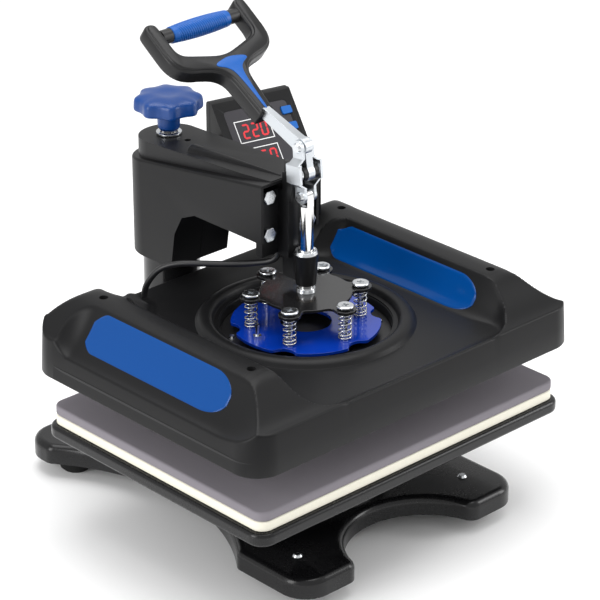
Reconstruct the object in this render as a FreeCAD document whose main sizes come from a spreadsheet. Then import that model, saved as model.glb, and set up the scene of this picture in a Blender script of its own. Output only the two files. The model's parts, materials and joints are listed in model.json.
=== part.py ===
import FreeCAD, Part
import Sketcher
import math
import os
import re

# Swing-away heat press, nominal pressing area 380 x 290 mm.
# Frame: +X is the operator's right, +Y points away from the operator, +Z is up.
# The origin is on the bench, below the middle of the machine's footprint.

doc = FreeCAD.newDocument("heat_press")
sheet = doc.addObject("Spreadsheet::Sheet", "dims")

# Driving dimensions in millimetres and degrees.
DIMENSIONS = {
    "platen_y": -50.15,          # middle of the platens, seen from the origin
    "column_back": 190.0,       # column axis behind the middle of the platens
    "foot_drop": 16.0,           # height of a rubber foot
    "base_top": 35.0,
    "base_wall": 9.0,
    "base_half_width": 142.0,
    "base_front": 148.0,        # front end of the base, ahead of the platen middle
    "base_back": 255.0,
    "base_corner": 28.0,
    "side_arc_radius": 220.0,
    "side_arc_centre": 314.0,
    "front_arc_radius": 77.0,
    "front_arc_centre": 163.0,
    "rear_arc_radius": 90.0,
    "rear_arc_centre": 322.0,
    "foot_x": 108.0,
    "foot_front": 103.0,
    "foot_rear": 215.0,
    "foot_radius": 16.0,
    "screw_radius": 2.5,
    "pad_long": 380.0,
    "pad_deep": 290.0,
    "pad_corner": 12.0,
    "plate_margin": 5.0,
    "plate_thick": 13.0,
    "plate_base": 93.5,
    "silicone_thick": 10.0,
    "sponge_thick": 9.5,
    "tube_radius": 27.8,
    "tube_bore": 24.0,
    "tube_top": 290.0,
    "sleeve_bore": 30.4,
    "sleeve_radius": 32.8,
    "arm_half": 36.0,
    "arm_front": 21.0,          # front face of the arm, behind the middle of the platens
    "arm_under": 280.0,
    "arm_top_front": 338.0,
    "arm_top_rear": 309.0,
    "boot_under": 214.0,
    "shell_wall": 3.0,
    "deck_radius": 29.5,
    "deck_rear": 331.0,
    "deck_front": 338.5,
    "knob_radius": 33.5,
    "knob_base": 356.0,
    "knob_height": 17.0,
    "neck_radius": 11.0,
    "pivot_up": 348.5,          # handle pivot
    "crank_up": 24.1,           # link pivot on the lever, above the handle pivot
    "crank_back": 3.8,
    "link_down": 22.5,          # lower link pivot, below the handle pivot
    "handle_tilt": 55.0,
    "grip_reach": 177.0,
    "rod_radius": 7.0,
    "rod_top": 316.0,
    "boss_top": 268.0,
    "boss_base": 238.0,
    "star_top": 230.0,
    "star_thick": 3.0,
    "bolt_circle": 52.0,
    "float_base": 196.5,
    "float_thick": 3.0,
    "float_radius": 70.0,
    "cover_under": 165.2,
    "deck_top": 203.0,
    "cover_half_long": 205.7,
    "cover_half_deep": 154.7,
    "cover_draft": 2.0,
    "cover_corner": 26.0,
    "cover_wall": 3.5,
    "well_radius": 80.0,
    "rim_outer": 97.0,
    "rim_inner": 86.0,
    "rim_top": 206.3,
    "wing_top": 236.0,
    "wing_rail": 151.5,         # middle of a side wing's rail
    "heater_base": 163.2,
    "heater_top": 177.0,
    "box_left": 38.3,
    "box_front": 128.3,         # behind the middle of the platens
    "box_turn": -12.0,
    "box_width": 88.0,
    "box_depth": 70.0,
    "box_under": 233.0,
    "box_knee": 280.0,
    "box_top": 349.0,
    "face_lean": 41.0,
}
ALIASES = re.compile(r"\b(" + "|".join(sorted(DIMENSIONS, key=len, reverse=True)) + r")\b")
for row, (alias, value) in enumerate(DIMENSIONS.items(), start=1):
    sheet.set(f"A{row}", alias)
    sheet.set(f"B{row}", str(value))
    sheet.setAlias(f"B{row}", alias)
doc.recompute()


def dim(alias):
    """Read one driving dimension back from the sheet."""
    return float(sheet.get(alias))


def bind(obj, prop, formula):
    """Tie a property to the sheet, with the dimension names in the formula."""
    obj.setExpression(prop, ALIASES.sub(r"dims.\1", str(formula)))


def place(obj, x=0, y=0, z=0):
    """Tie an object's position; y is measured from the middle of the platens."""
    bind(obj, "Placement.Base.x", x)
    bind(obj, "Placement.Base.y", f"platen_y + ({y})")
    bind(obj, "Placement.Base.z", z)
    return obj


UP = FreeCAD.Vector(0, 0, 1)
TURNS = {
    "+z": FreeCAD.Rotation(),
    "-z": FreeCAD.Rotation(FreeCAD.Vector(1, 0, 0), 180),
    "+x": FreeCAD.Rotation(UP, FreeCAD.Vector(1, 0, 0)),
    "-x": FreeCAD.Rotation(UP, FreeCAD.Vector(-1, 0, 0)),
    "+y": FreeCAD.Rotation(UP, FreeCAD.Vector(0, 1, 0)),
    "-y": FreeCAD.Rotation(UP, FreeCAD.Vector(0, -1, 0)),
}


def box(name, length, width, height, x, y, z):
    """A box centred on x and y, standing on z."""
    obj = doc.addObject("Part::Box", name)
    bind(obj, "Length", length)
    bind(obj, "Width", width)
    bind(obj, "Height", height)
    return place(obj, f"({x}) - ({length}) / 2", f"({y}) - ({width}) / 2", z)


def rod(name, radius, height, x, y, z, axis="+z"):
    """A cylinder that starts at a point and runs along an axis."""
    obj = doc.addObject("Part::Cylinder", name)
    obj.Placement = FreeCAD.Placement(FreeCAD.Vector(), TURNS[axis])
    bind(obj, "Radius", radius)
    bind(obj, "Height", height)
    return place(obj, x, y, z)


def cone(name, radius_start, radius_end, height, x, y, z, axis="+z"):
    obj = doc.addObject("Part::Cone", name)
    obj.Placement = FreeCAD.Placement(FreeCAD.Vector(), TURNS[axis])
    bind(obj, "Radius1", radius_start)
    bind(obj, "Radius2", radius_end)
    bind(obj, "Height", height)
    return place(obj, x, y, z)


def hexagon(name, radius, height, x, y, z, axis="+z"):
    obj = doc.addObject("Part::Prism", name)
    obj.Polygon = 6
    obj.Placement = FreeCAD.Placement(FreeCAD.Vector(), TURNS[axis])
    bind(obj, "Circumradius", radius)
    bind(obj, "Height", height)
    return place(obj, x, y, z)


def fuse(name, parts):
    obj = doc.addObject("Part::MultiFuse", name)
    obj.Shapes = parts
    obj.Refine = True
    return obj


def cut(name, base, tool):
    obj = doc.addObject("Part::Cut", name)
    obj.Base = base
    obj.Tool = tool
    obj.Refine = True
    return obj


def bore(name, base, tools):
    """Cut several tools out of a base."""
    return cut(name, base, fuse(name + "_tools", tools) if len(tools) > 1 else tools[0])


def common(name, base, tool):
    obj = doc.addObject("Part::Common", name)
    obj.Base = base
    obj.Tool = tool
    return obj


def group(name, parts):
    obj = doc.addObject("Part::Compound", name)
    obj.Links = parts
    return obj


def fillet(name, base, radius, wanted):
    """Round the edges of a base that a test picks out."""
    doc.recompute()
    obj = doc.addObject("Part::Fillet", name)
    obj.Base = base
    obj.Edges = [(n, radius, radius) for n, edge in enumerate(base.Shape.Edges, start=1) if wanted(edge)]
    return obj


def upright(edge):
    box_ = edge.BoundBox
    return box_.XLength < 0.01 and box_.YLength < 0.01 and box_.ZLength > 0.5


def sharp(obj, edge):
    """True where the two walls beside an upright edge don't run on smoothly."""
    walls = [f for f in obj.Shape.Faces if any(e.isSame(edge) for e in f.Edges)]
    middle = edge.valueAt((edge.FirstParameter + edge.LastParameter) / 2)
    first, second = [f.normalAt(*f.Surface.parameter(middle)) for f in walls]
    return abs(first.dot(second)) < 0.99


def level(height):
    return lambda edge: edge.BoundBox.ZLength < 0.01 and abs(edge.BoundBox.ZMin - height) < 0.01


def shaped(name, shape):
    """A feature for a form that no single primitive or boolean gives."""
    obj = doc.addObject("Part::Feature", name)
    obj.Shape = shape
    return obj


def vec(x, y, z):
    """A point of the model; y is measured from the middle of the platens."""
    return FreeCAD.Vector(x, y + dim("platen_y"), z)


def face_of(points):
    return Part.Face(Part.makePolygon(list(points) + [points[0]]))


def prism(points, travel):
    """Sweep a polygon along a straight travel."""
    return face_of(points).extrude(FreeCAD.Vector(*travel))


def rounded(shape, radius, wanted):
    return shape.makeFillet(radius, [edge for edge in shape.Edges if wanted(edge)])


SUBPARTS = []


def subpart(obj, label):
    obj.Label = label
    SUBPARTS.append(obj)
    return obj


SIX = [30 + 60 * n for n in range(6)]


def ring_place(radius, angle):
    """Position formulas on a circle round the plunger axis."""
    turn = math.radians(angle)
    return f"({radius}) * {math.cos(turn):.6f}", f"({radius}) * {math.sin(turn):.6f}"


# ---------------------------------------------------------------- base

def casting_block(name, inset, low, high, corner, junction):
    """The four-footed outline of the base, shrunk by an inset, between two heights."""
    block = box(name + "_block", f"2 * (base_half_width - {inset})",
                f"base_front + base_back - 2 * {inset}", high + " - (" + low + ")",
                0, "(base_back - base_front) / 2", low)
    tools = [
        rod(name + "_left_arc", f"side_arc_radius + {inset}", 60, "-side_arc_centre", 78, f"{low} - 5"),
        rod(name + "_right_arc", f"side_arc_radius + {inset}", 60, "side_arc_centre", 78, f"{low} - 5"),
        rod(name + "_front_arc", f"front_arc_radius + {inset}", 60, 0, "-front_arc_centre", f"{low} - 5"),
        rod(name + "_rear_arc", f"rear_arc_radius + {inset}", 60, 0, "rear_arc_centre", f"{low} - 5"),
    ]
    waisted = bore(name + "_waisted", block, tools)
    corner_x = dim("base_half_width") - inset
    cornered = fillet(name + "_cornered", waisted, corner,
                      lambda e: upright(e) and abs(abs(e.BoundBox.Center.x) - corner_x) < 0.1
                      and not -120 + dim("platen_y") < e.BoundBox.Center.y < 235 + dim("platen_y"))
    return fillet(name + "_rounded", cornered, junction, lambda e: upright(e) and sharp(cornered, e))


FEET = [(sx, y) for y in ("-foot_front", "foot_rear") for sx in ("-1", "1")]
casting = fillet("casting_edges", casting_block("casting", 0, "foot_drop", "base_top", dim("base_corner"), 12),
                 7, level(dim("base_top")))
hollow = casting_block("hollow", dim("base_wall"), "foot_drop - 1", "base_top - base_wall", 14, 6)
hollow_cut = cut("casting_hollow", casting, hollow)
bosses = [rod(f"foot_boss_{n}", "foot_radius", "base_top - foot_drop - 2", f"{sx} * foot_x", y, "foot_drop")
          for n, (sx, y) in enumerate(FEET)]
column_seat = rod("column_seat", "tube_radius + 12", "base_top - foot_drop - 2", 0, "column_back", "foot_drop")
bossed = fuse("casting_bossed", [hollow_cut, column_seat] + bosses)
foot_holes = [rod(f"foot_hole_{n}", "screw_radius + 0.1", 60, f"{sx} * foot_x", y, 0)
              for n, (sx, y) in enumerate(FEET)]
subpart(bore("casting_drilled", bossed, foot_holes), "base_casting")

feet = []
foot_screws = []
for n, (sx, y) in enumerate(FEET):
    tread = cone(f"foot_tread_{n}", "foot_radius - 3", "foot_radius", 3, f"{sx} * foot_x", y, 0)
    body = rod(f"foot_body_{n}", "foot_radius", "foot_drop - 3", f"{sx} * foot_x", y, 3)
    drill = rod(f"foot_drill_{n}", "screw_radius + 0.1", 20, f"{sx} * foot_x", y, 3)
    feet.append(cut(f"rubber_foot_{n}", fuse(f"foot_blank_{n}", [tread, body]), drill))
    shank = rod(f"foot_shank_{n}", "screw_radius", "base_top - 4", f"{sx} * foot_x", y, 4)
    head = cone(f"foot_head_{n}", 4.5, 3.2, 2, f"{sx} * foot_x", y, "base_top")
    foot_screws.append(fuse(f"foot_screw_{n}", [shank, head]))
subpart(group("feet_group", feet), "rubber_feet")
subpart(group("foot_screw_group", foot_screws), "foot_screws")

# Pedestal that carries the lower platen.
pedestal = fuse("pedestal_solid", [
    rod("pedestal_flange", 78, 7, 0, 0, "base_top"),
    cone("pedestal_waist", 58, 44, "plate_base - base_top - 14", 0, 0, "base_top + 7"),
    rod("pedestal_head", 84, 7, 0, 0, "plate_base - 7"),
])
bolt_angles = (45, 135, 225, 315)
pedestal_holes = [rod(f"pedestal_hole_{a}", 4.1, 8, *ring_place(68, a), "plate_base - 7.5") for a in bolt_angles]
subpart(bore("pedestal_drilled", pedestal, pedestal_holes), "pedestal")
platen_bolts = []
for a in bolt_angles:
    x, y = ring_place(68, a)
    shank = rod(f"platen_bolt_shank_{a}", 4, 15, x, y, "plate_base - 7")
    platen_bolts.append(fuse(f"platen_bolt_{a}", [shank, hexagon(f"platen_bolt_head_{a}", 7.5, 5, x, y,
                                                                 "plate_base - 12")]))
subpart(group("platen_bolt_group", platen_bolts), "platen_bolts")

# Lower platen: a pad with rounded corners and edges, drilled blind from below.
platen_body = doc.addObject("PartDesign::Body", "lower_platen_body")
flat = [f for f in platen_body.Origin.OriginFeatures if f.Role == "XY_Plane"][0]
outline = platen_body.newObject("Sketcher::SketchObject", "platen_outline")
outline.AttachmentSupport = [(flat, "")]
outline.MapMode = "FlatFace"
corners = [FreeCAD.Vector(sx * 195, sy * 150, 0) for sx, sy in ((-1, -1), (1, -1), (1, 1), (-1, 1))]
for n in range(4):
    outline.addGeometry(Part.LineSegment(corners[n], corners[(n + 1) % 4]), False)
for n in range(4):
    outline.addConstraint(Sketcher.Constraint("Coincident", n, 2, (n + 1) % 4, 1))
for n, kind in ((0, "Horizontal"), (1, "Vertical"), (2, "Horizontal"), (3, "Vertical")):
    outline.addConstraint(Sketcher.Constraint(kind, n))
outline.addConstraint(Sketcher.Constraint("Symmetric", 0, 1, 1, 2, -1, 1))
long_side = outline.addConstraint(Sketcher.Constraint("DistanceX", 0, 1, 0, 2, 390))
deep_side = outline.addConstraint(Sketcher.Constraint("DistanceY", 1, 1, 1, 2, 300))
bind(outline, f"Constraints[{long_side}]", "pad_long + 2 * plate_margin")
bind(outline, f"Constraints[{deep_side}]", "pad_deep + 2 * plate_margin")
slab = platen_body.newObject("PartDesign::Pad", "platen_slab")
slab.Profile = outline
bind(slab, "Length", "plate_thick")
doc.recompute()
corner_round = platen_body.newObject("PartDesign::Fillet", "platen_corners")
corner_round.Base = (slab, [f"Edge{n}" for n, e in enumerate(slab.Shape.Edges, start=1) if upright(e)])
bind(corner_round, "Radius", "pad_corner + 4")
doc.recompute()
edge_round = platen_body.newObject("PartDesign::Fillet", "platen_edges")
edge_round.Base = (corner_round, [f"Edge{n}" for n, e in enumerate(corner_round.Shape.Edges, start=1)
                                  if e.BoundBox.ZLength < 0.01])
edge_round.Radius = 4
sockets = platen_body.newObject("Sketcher::SketchObject", "platen_sockets")
sockets.AttachmentSupport = [(flat, "")]
sockets.MapMode = "FlatFace"
for a in bolt_angles:
    centre = FreeCAD.Vector(68 * math.cos(math.radians(a)), 68 * math.sin(math.radians(a)), 0)
    sockets.addGeometry(Part.Circle(centre, UP, 4.1), False)
pocket = platen_body.newObject("PartDesign::Pocket", "platen_socket_pocket")
pocket.Profile = sockets
pocket.Length = 9
pocket.Reversed = True
doc.recompute()
place(platen_body, 0, 0, "plate_base")
subpart(platen_body, "lower_platen")

silicone = box("silicone_block", "pad_long", "pad_deep", "silicone_thick", 0, 0, "plate_base + plate_thick")
subpart(fillet("silicone_rounded", silicone, dim("pad_corner"), upright), "silicone_pad")

sponge_low = dim("plate_base") + dim("plate_thick") + dim("silicone_thick")


def pad_outline(inset, height):
    half_x = dim("pad_long") / 2 - inset
    half_y = dim("pad_deep") / 2 - inset
    wire = Part.makePolygon([vec(-half_x, -half_y, height), vec(half_x, -half_y, height),
                             vec(half_x, half_y, height), vec(-half_x, half_y, height),
                             vec(-half_x, -half_y, height)])
    return wire


sponge_shape = Part.makeLoft([pad_outline(1.5, sponge_low), pad_outline(0, sponge_low + dim("sponge_thick"))],
                             True, True)
sponge_shape = rounded(sponge_shape, dim("pad_corner"), lambda e: e.BoundBox.ZLength > 5)
subpart(shaped("sponge_shape", sponge_shape), "sponge_pad")

# Column, welded foot and cap.
tube = fuse("column_solid", [rod("column_outer", "tube_radius", "tube_top - base_top", 0, "column_back", "base_top"),
                             rod("column_flange", 46, 8, 0, "column_back", "base_top")])
holes = [rod("column_inner", "tube_bore", "tube_top", 0, "column_back", "base_top - 1")]
column_bolts = []
for a in bolt_angles:
    turn = math.radians(a)
    x = f"38 * {math.cos(turn):.6f}"
    y = f"column_back + 38 * {math.sin(turn):.6f}"
    holes.append(rod(f"column_hole_{a}", 3.1, 20, x, y, "base_top - 5"))
    shank = rod(f"column_bolt_shank_{a}", 3, 8, x, y, "base_top")
    column_bolts.append(fuse(f"column_bolt_{a}", [shank, hexagon(f"column_bolt_head_{a}", 5.5, 4, x, y,
                                                                 "base_top + 8")]))
subpart(bore("column_drilled", tube, holes), "column")
subpart(group("column_bolt_group", column_bolts), "column_bolts")
cap = fuse("column_cap_solid", [
    rod("cap_plug", "tube_bore - 0.1", 24, 0, "column_back", "tube_top - 24"),
    rod("cap_flange", "tube_radius", 5, 0, "column_back", "tube_top"),
])
subpart(cut("column_cap_threaded", cap, rod("cap_thread", 8.05, 60, 0, "column_back", "tube_top - 40")),
        "column_cap")

# ---------------------------------------------------------------- swing carriage

subpart(cut("swing_bush_ring",
            rod("bush_outer", "sleeve_bore - 0.05", "tube_top - boot_under - 16", 0, "column_back",
                "boot_under + 14"),
            rod("bush_inner", "tube_radius + 0.05", "tube_top", 0, "column_back", "boot_under")), "swing_bush")
subpart(cut("thrust_disc_ring", rod("thrust_outer", "tube_radius", 2.9, 0, "column_back", "tube_top + 5.05"),
            rod("thrust_inner", 9, 60, 0, "column_back", "tube_top - 20")), "thrust_disc")

# ---------------------------------------------------------------- arm

arm_front = dim("arm_front")
column_back = dim("column_back")
under = dim("arm_under")
boot = dim("boot_under")
top_front = dim("arm_top_front")
top_rear = dim("arm_top_rear")
top_slope = (top_rear - top_front) / (column_back + dim("arm_half") - arm_front)


def top_at(y):
    """Height of the arm covers' sloping top edge."""
    return top_front + top_slope * (y - arm_front)


def arm_blank(inset):
    """Both arm covers as one solid, shrunk by an inset on the sides, top and arch."""
    half = dim("arm_half") - inset
    rear = column_back + half
    low = boot - (10 if inset else 0)
    floor = under + inset
    side = [vec(-half, arm_front - (10 if inset else 0), top_at(arm_front - (10 if inset else 0)) - inset),
            vec(-half, rear + 1, top_at(rear + 1) - inset),
            vec(-half, rear + 1, low),
            vec(-half, column_back - 41 + inset, low),
            vec(-half, column_back - 47 + inset, 252),
            vec(-half, column_back - 58 + inset, 272 + inset),
            vec(-half, column_back - 76 + inset, floor),
            vec(-half, arm_front - (10 if inset else 0), floor)]
    profile = prism(side, (2 * half, 0, 0))
    straight = Part.makeBox(2 * half, column_back - arm_front + 20, 200, vec(-half, arm_front - 20, 180))
    round_end = Part.makeCylinder(half, 200, vec(0, column_back, 180), UP)
    return profile.common(straight.fuse(round_end))


DECK_SCREW_BACK = 163
DECK_SCREW_HOLE = 1.9
arm_outer = arm_blank(0)
arm_outer = rounded(arm_outer, 2.5, lambda e: abs(e.BoundBox.XLength) < 0.01 and e.BoundBox.YLength > 100
                    and e.BoundBox.ZMax > 320)
arm_inner = arm_blank(dim("shell_wall"))
keep = dim("arm_half") - dim("shell_wall")
open_floor = Part.makeBox(2 * keep, 24, 30, vec(-keep, arm_front - 10, under - 10))
arm_shell = arm_outer.cut(arm_inner).cut(open_floor)
knob_hole = Part.makeCylinder(14, 100, vec(0, column_back, 290), UP)
arm_shell = arm_shell.cut(knob_hole)
arm_shell = arm_shell.cut(Part.makeCylinder(DECK_SCREW_HOLE, 60, vec(0, DECK_SCREW_BACK, 290), UP))
for side, name in ((-1, "left_arm_cover"), (1, "right_arm_cover")):
    half_space = Part.makeBox(100, 400, 300, vec(-100.05 if side < 0 else 0.05, -50, 150))
    subpart(shaped(name + "_shape", arm_shell.common(half_space)), name)

# Steel core: sleeve round the column, beam and front flange.
core = fuse("arm_core_solid", [
    rod("core_sleeve", "sleeve_radius", "tube_top + 16 - boot_under - 8", 0, "column_back", "boot_under + 8"),
    box("core_beam", 36, 124, 22, 0, "arm_front + 13 + 62", "arm_under + 8"),
    box("core_flange", 62, 8, 46, 0, "arm_front + 17", "arm_under + 5"),
])
core_cuts = [
    rod("core_bore", "sleeve_bore", "tube_top + 8 - boot_under", 0, "column_back", "boot_under"),
    rod("core_spindle_hole", 8.2, 100, 0, "column_back", "tube_top - 10"),
]
core_bolt_spots = [(x, z) for x in (-25, 25) for z in (287, 324)]
core_cuts += [rod(f"core_bolt_hole_{n}", 3.6, 20, x, "arm_front + 8", z, "+y")
              for n, (x, z) in enumerate(core_bolt_spots)]
subpart(bore("arm_core_cut", core, core_cuts), "arm_core")

# Raised deck cover round the knob, narrowing towards the front, with a long ridge.
deck_radius = dim("deck_radius")


def deck_plan(grow, low, high):
    radius = deck_radius + grow
    start = vec(radius, column_back, low)
    nose = [vec(-radius, column_back, low), vec(-26 - grow, 60, low), vec(-22 - grow, arm_front + 2, low),
            vec(22 + grow, arm_front + 2, low), vec(26 + grow, 60, low), start]
    edges = [Part.Arc(start, vec(0, column_back + radius, low), nose[0]).toShape()]
    edges += [Part.makeLine(a, b) for a, b in zip(nose, nose[1:])]
    return Part.Face(Part.Wire(edges)).extrude(FreeCAD.Vector(0, 0, high - low))


deck_low = prism([vec(-60, -20, top_at(-20)), vec(-60, 260, top_at(260)), vec(-60, 260, 200),
                  vec(-60, -20, 200)], (120, 0, 0))
deck_slope = (dim("deck_front") - dim("deck_rear")) / (column_back - arm_front)
deck_high = prism([vec(-60, -20, dim("deck_front") + deck_slope * (arm_front + 20)),
                   vec(-60, 260, dim("deck_rear") - deck_slope * 70),
                   vec(-60, 260, 420), vec(-60, -20, 420)], (120, 0, 0))
deck = deck_plan(0, 290, 360).cut(deck_low.fuse(deck_high))
ridge = Part.makeCone(9, 1.5, 112, vec(-13, 140, 329), FreeCAD.Vector(0.07, -1, 0.075))
ridge_floor = ridge.cut(deck_low)
deck = deck.fuse(ridge_floor).removeSplitter()
deck = deck.cut(Part.makeCylinder(11.4, 100, vec(0, column_back, 290), UP))
deck = deck.cut(Part.makeCylinder(3.2, 100, vec(0, DECK_SCREW_BACK, 321.9), UP))
deck = deck.cut(Part.makeCylinder(DECK_SCREW_HOLE, 60, vec(0, DECK_SCREW_BACK, 290), UP))
subpart(shaped("deck_cover_shape", deck), "deck_cover")

# Toggle bracket: flange, spine, web, guide boss and two lugs, one casting.
flange_y = "arm_front + 9"
bracket = fuse("bracket_solid", [
    box("bracket_flange", 62, 8, 64, 0, flange_y, "arm_under - 16"),
    box("bracket_spine", 22, 14, 66, 0, "arm_front - 2", "boss_top - 6"),
    box("bracket_spine_top", 22, 12, 26, 0, "arm_front - 7", "boss_top + 52"),
    box("bracket_web", 12, 18, "boss_top - boss_base - 4", 0, "arm_front - 5", "boss_base + 2"),
    cone("bracket_boss", 9.6, 11.6, "boss_top - boss_base", 0, 0, "boss_base"),
    box("bracket_lug_left", 4, 22, 16, -6.4, "arm_front - 12", "pivot_up - 8"),
    box("bracket_lug_right", 4, 22, 16, 6.4, "arm_front - 12", "pivot_up - 8"),
    rod("lug_end_left", 8, 4, -8.4, 0, "pivot_up", "+x"),
    rod("lug_end_right", 8, 4, 4.4, 0, "pivot_up", "+x"),
])
bracket_cuts = [
    box("lug_gap", 8.8, 30, 60, 0, "arm_front - 9", "pivot_up - 10"),
    rod("guide_bore", 9.05, 80, 0, 0, "boss_base - 20"),
    rod("lug_bore", 4.05, 40, -20, 0, "pivot_up", "+x"),
]
bracket_cuts += [rod(f"bracket_bolt_hole_{n}", 3.6, 30, x, "arm_front", z, "+y")
                 for n, (x, z) in enumerate(core_bolt_spots)]
subpart(bore("bracket_cut", bracket, bracket_cuts), "toggle_bracket")

bolts = []
for n, (x, z) in enumerate(core_bolt_spots):
    head = hexagon(f"bracket_bolt_head_{n}", 7.4, 5.5, x, "arm_front + 5", z, "-y")
    shank = rod(f"bracket_bolt_shank_{n}", 3.5, 16, x, "arm_front + 5", z, "+y")
    bolts.append(fuse(f"bracket_bolt_{n}", [head, shank]))
subpart(group("bracket_bolt_group", bolts), "bracket_bolts")

subpart(cut("guide_bush_ring", rod("guide_outer", 9, "boss_top - boss_base", 0, 0, "boss_base"),
            rod("guide_inner", "rod_radius + 0.06", 80, 0, 0, "boss_base - 20")), "guide_bush")
subpart(cut("guide_ring_ring", cone("ring_outer", 11, 10, 3.5, 0, 0, "boss_top"),
            rod("ring_inner", "rod_radius + 0.3", 80, 0, 0, "boss_base - 20")), "guide_ring")
pin = fuse("pivot_pin_solid", [
    rod("pivot_pin_shaft", 4, 21.4, -10.7, 0, "pivot_up", "+x"),
    cone("pivot_head_left", 6, 4.6, 2.3, -8.4, 0, "pivot_up", "-x"),
    cone("pivot_head_right", 6, 4.6, 2.3, 8.4, 0, "pivot_up", "+x"),
])
subpart(pin, "pivot_pin")

# Screws that close the arm covers, and the deck screw.
arm_screws = [cone(f"cover_screw_{n}", 3.6, 2.6, 1.4, "arm_half + 0.05", y, 300, "+x")
              for n, y in enumerate((50, 118))]
deck_screw = fuse("deck_screw_solid", [rod("deck_screw_head", 3, 2, 0, DECK_SCREW_BACK, 322),
                                       rod("deck_screw_shank", 1.8, 9, 0, DECK_SCREW_BACK, 314)])
subpart(group("arm_screw_group", arm_screws + [deck_screw]), "arm_cover_screws")

# ---------------------------------------------------------------- height knob

lobed = [rod("knob_core", "knob_radius - 3.6", "knob_height", 0, "column_back", "knob_base")]
for n in range(8):
    turn = math.radians(45 * n + 10)
    lobed.append(rod(f"knob_lobe_{n}", 9, "knob_height", f"(knob_radius - 9) * {math.cos(turn):.6f}",
                     f"column_back + (knob_radius - 9) * {math.sin(turn):.6f}", "knob_base"))
knob_blank = fuse("knob_blank", lobed)
knob_dome = cone("knob_dome", 46, 25, 18, 0, "column_back", "knob_base - 1")
knob = common("knob_trimmed", knob_blank, knob_dome)
neck = rod("knob_neck", "neck_radius", "knob_base - deck_rear - 3.1", 0, "column_back", "deck_rear + 3.1")
knob_solid = fuse("knob_solid", [knob, neck])
subpart(cut("knob_bored", knob_solid, rod("knob_bore", 5.05, 32, 0, "column_back", "deck_rear")), "height_knob")
spindle = fuse("spindle_solid", [
    rod("spindle_thread", 7.95, 66, 0, "column_back", "tube_top - 24"),
    rod("spindle_stub", 5, 30, 0, "column_back", "tube_top + 42"),
])
subpart(spindle, "knob_spindle")
subpart(cut("knob_washer_ring", rod("washer_outer", 12.4, 2, 0, "column_back", "deck_rear + 1"),
            rod("washer_inner", 8.4, 20, 0, "column_back", "deck_rear - 5")), "knob_washer")

# ---------------------------------------------------------------- handle, in its own upright frame

HANDLE = FreeCAD.Placement(vec(0, 0, dim("pivot_up")),
                           FreeCAD.Rotation(FreeCAD.Vector(1, 0, 0), -dim("handle_tilt")))
grip_reach = dim("grip_reach")


def handle_part(shape, name, label):
    obj = doc.addObject("Part::Feature", name)
    obj.Shape = shape
    obj.Placement = HANDLE
    return subpart(obj, label)


# Lever bar, drawn in the machine's upright frame: it ends in a slot in the handle's stem.
pivot = vec(0, 0, dim("pivot_up"))
crank = vec(0, dim("crank_back"), dim("pivot_up") + dim("crank_up"))
along = FreeCAD.Vector(0, math.sin(math.radians(dim("handle_tilt"))), math.cos(math.radians(dim("handle_tilt"))))
across = FreeCAD.Vector(0, along.z, -along.y)
X_AXIS = FreeCAD.Vector(1, 0, 0)
BAR_END = 86


def bar_blank(grow):
    bar_end = pivot + along * (BAR_END + grow)
    side = X_AXIS * (4 + grow)
    wide_half = across * (7.5 + grow)
    thin_half = across * (4.5 + grow)
    return prism([crank - wide_half - side, crank + wide_half - side, bar_end + thin_half - side,
                  bar_end - thin_half - side], (2 * side.x, 0, 0))


right_outline = [(8.5, 66), (11.5, 108), (13.5, 115), (20, 121.5), (44, 128), (53, 132.5), (58.5, 139.5),
                 (61.5, 149), (61.5, grip_reach + 7), (60.3, grip_reach + 11), (57, grip_reach + 13.5),
                 (51, grip_reach + 13.5), (47.7, grip_reach + 11), (46.5, grip_reach + 7), (46.5, 157),
                 (44.5, 151.5), (39.5, 148), (14, 140.5), (0, 138)]
outline_points = right_outline + [(-x, u) for x, u in reversed(right_outline[:-1])]
frame_solid = prism([FreeCAD.Vector(x, -9, u) for x, u in outline_points], (0, 18, 0))
frame_solid = rounded(frame_solid, 2.2, lambda e: e.BoundBox.YLength < 0.01)
frame_solid = frame_solid.cut(Part.makeCylinder(5.05, 108, FreeCAD.Vector(-54, 0, grip_reach),
                                                FreeCAD.Vector(1, 0, 0)))
stem_slot = bar_blank(0.06)
stem_slot.Placement = HANDLE.inverse().multiply(stem_slot.Placement)
frame_solid = frame_solid.cut(stem_slot)
inlay_points = [(-2.4, 76), (2.4, 76), (4, 108), (6.5, 122), (20, 131), (17, 136), (0, 131), (-17, 136),
                (-20, 131), (-6.5, 122), (-4, 108)]
frame_solid = frame_solid.cut(prism([FreeCAD.Vector(x, -9, u) for x, u in inlay_points], (0, 1.5, 0)))
handle_part(frame_solid, "handle_frame_shape", "handle_frame")
inlay_face = face_of([FreeCAD.Vector(x, -9.6, u) for x, u in inlay_points]).makeOffset2D(-0.08)
inlay = inlay_face.extrude(FreeCAD.Vector(0, 2.0, 0))
handle_part(inlay, "handle_inlay_shape", "handle_inlay")
handle_part(Part.makeCylinder(5, 107, FreeCAD.Vector(-53.5, 0, grip_reach), FreeCAD.Vector(1, 0, 0)),
            "grip_rod_shape", "grip_rod")
sleeve_profile = [(-35, 7.8), (-20, 9.0), (0, 9.4), (20, 9.0), (35, 7.8)]
sleeve_curve = Part.BSplineCurve()
sleeve_curve.interpolate([FreeCAD.Vector(x, 0, grip_reach + r) for x, r in sleeve_profile])
sleeve_edges = [sleeve_curve.toShape(),
                Part.makeLine((35, 0, grip_reach + 7.8), (35, 0, grip_reach + 5.05)),
                Part.makeLine((35, 0, grip_reach + 5.05), (-35, 0, grip_reach + 5.05)),
                Part.makeLine((-35, 0, grip_reach + 5.05), (-35, 0, grip_reach + 7.8))]
grip_sleeve = Part.Face(Part.Wire(sleeve_edges)).revolve(FreeCAD.Vector(0, 0, grip_reach),
                                                         FreeCAD.Vector(1, 0, 0), 360)
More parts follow.
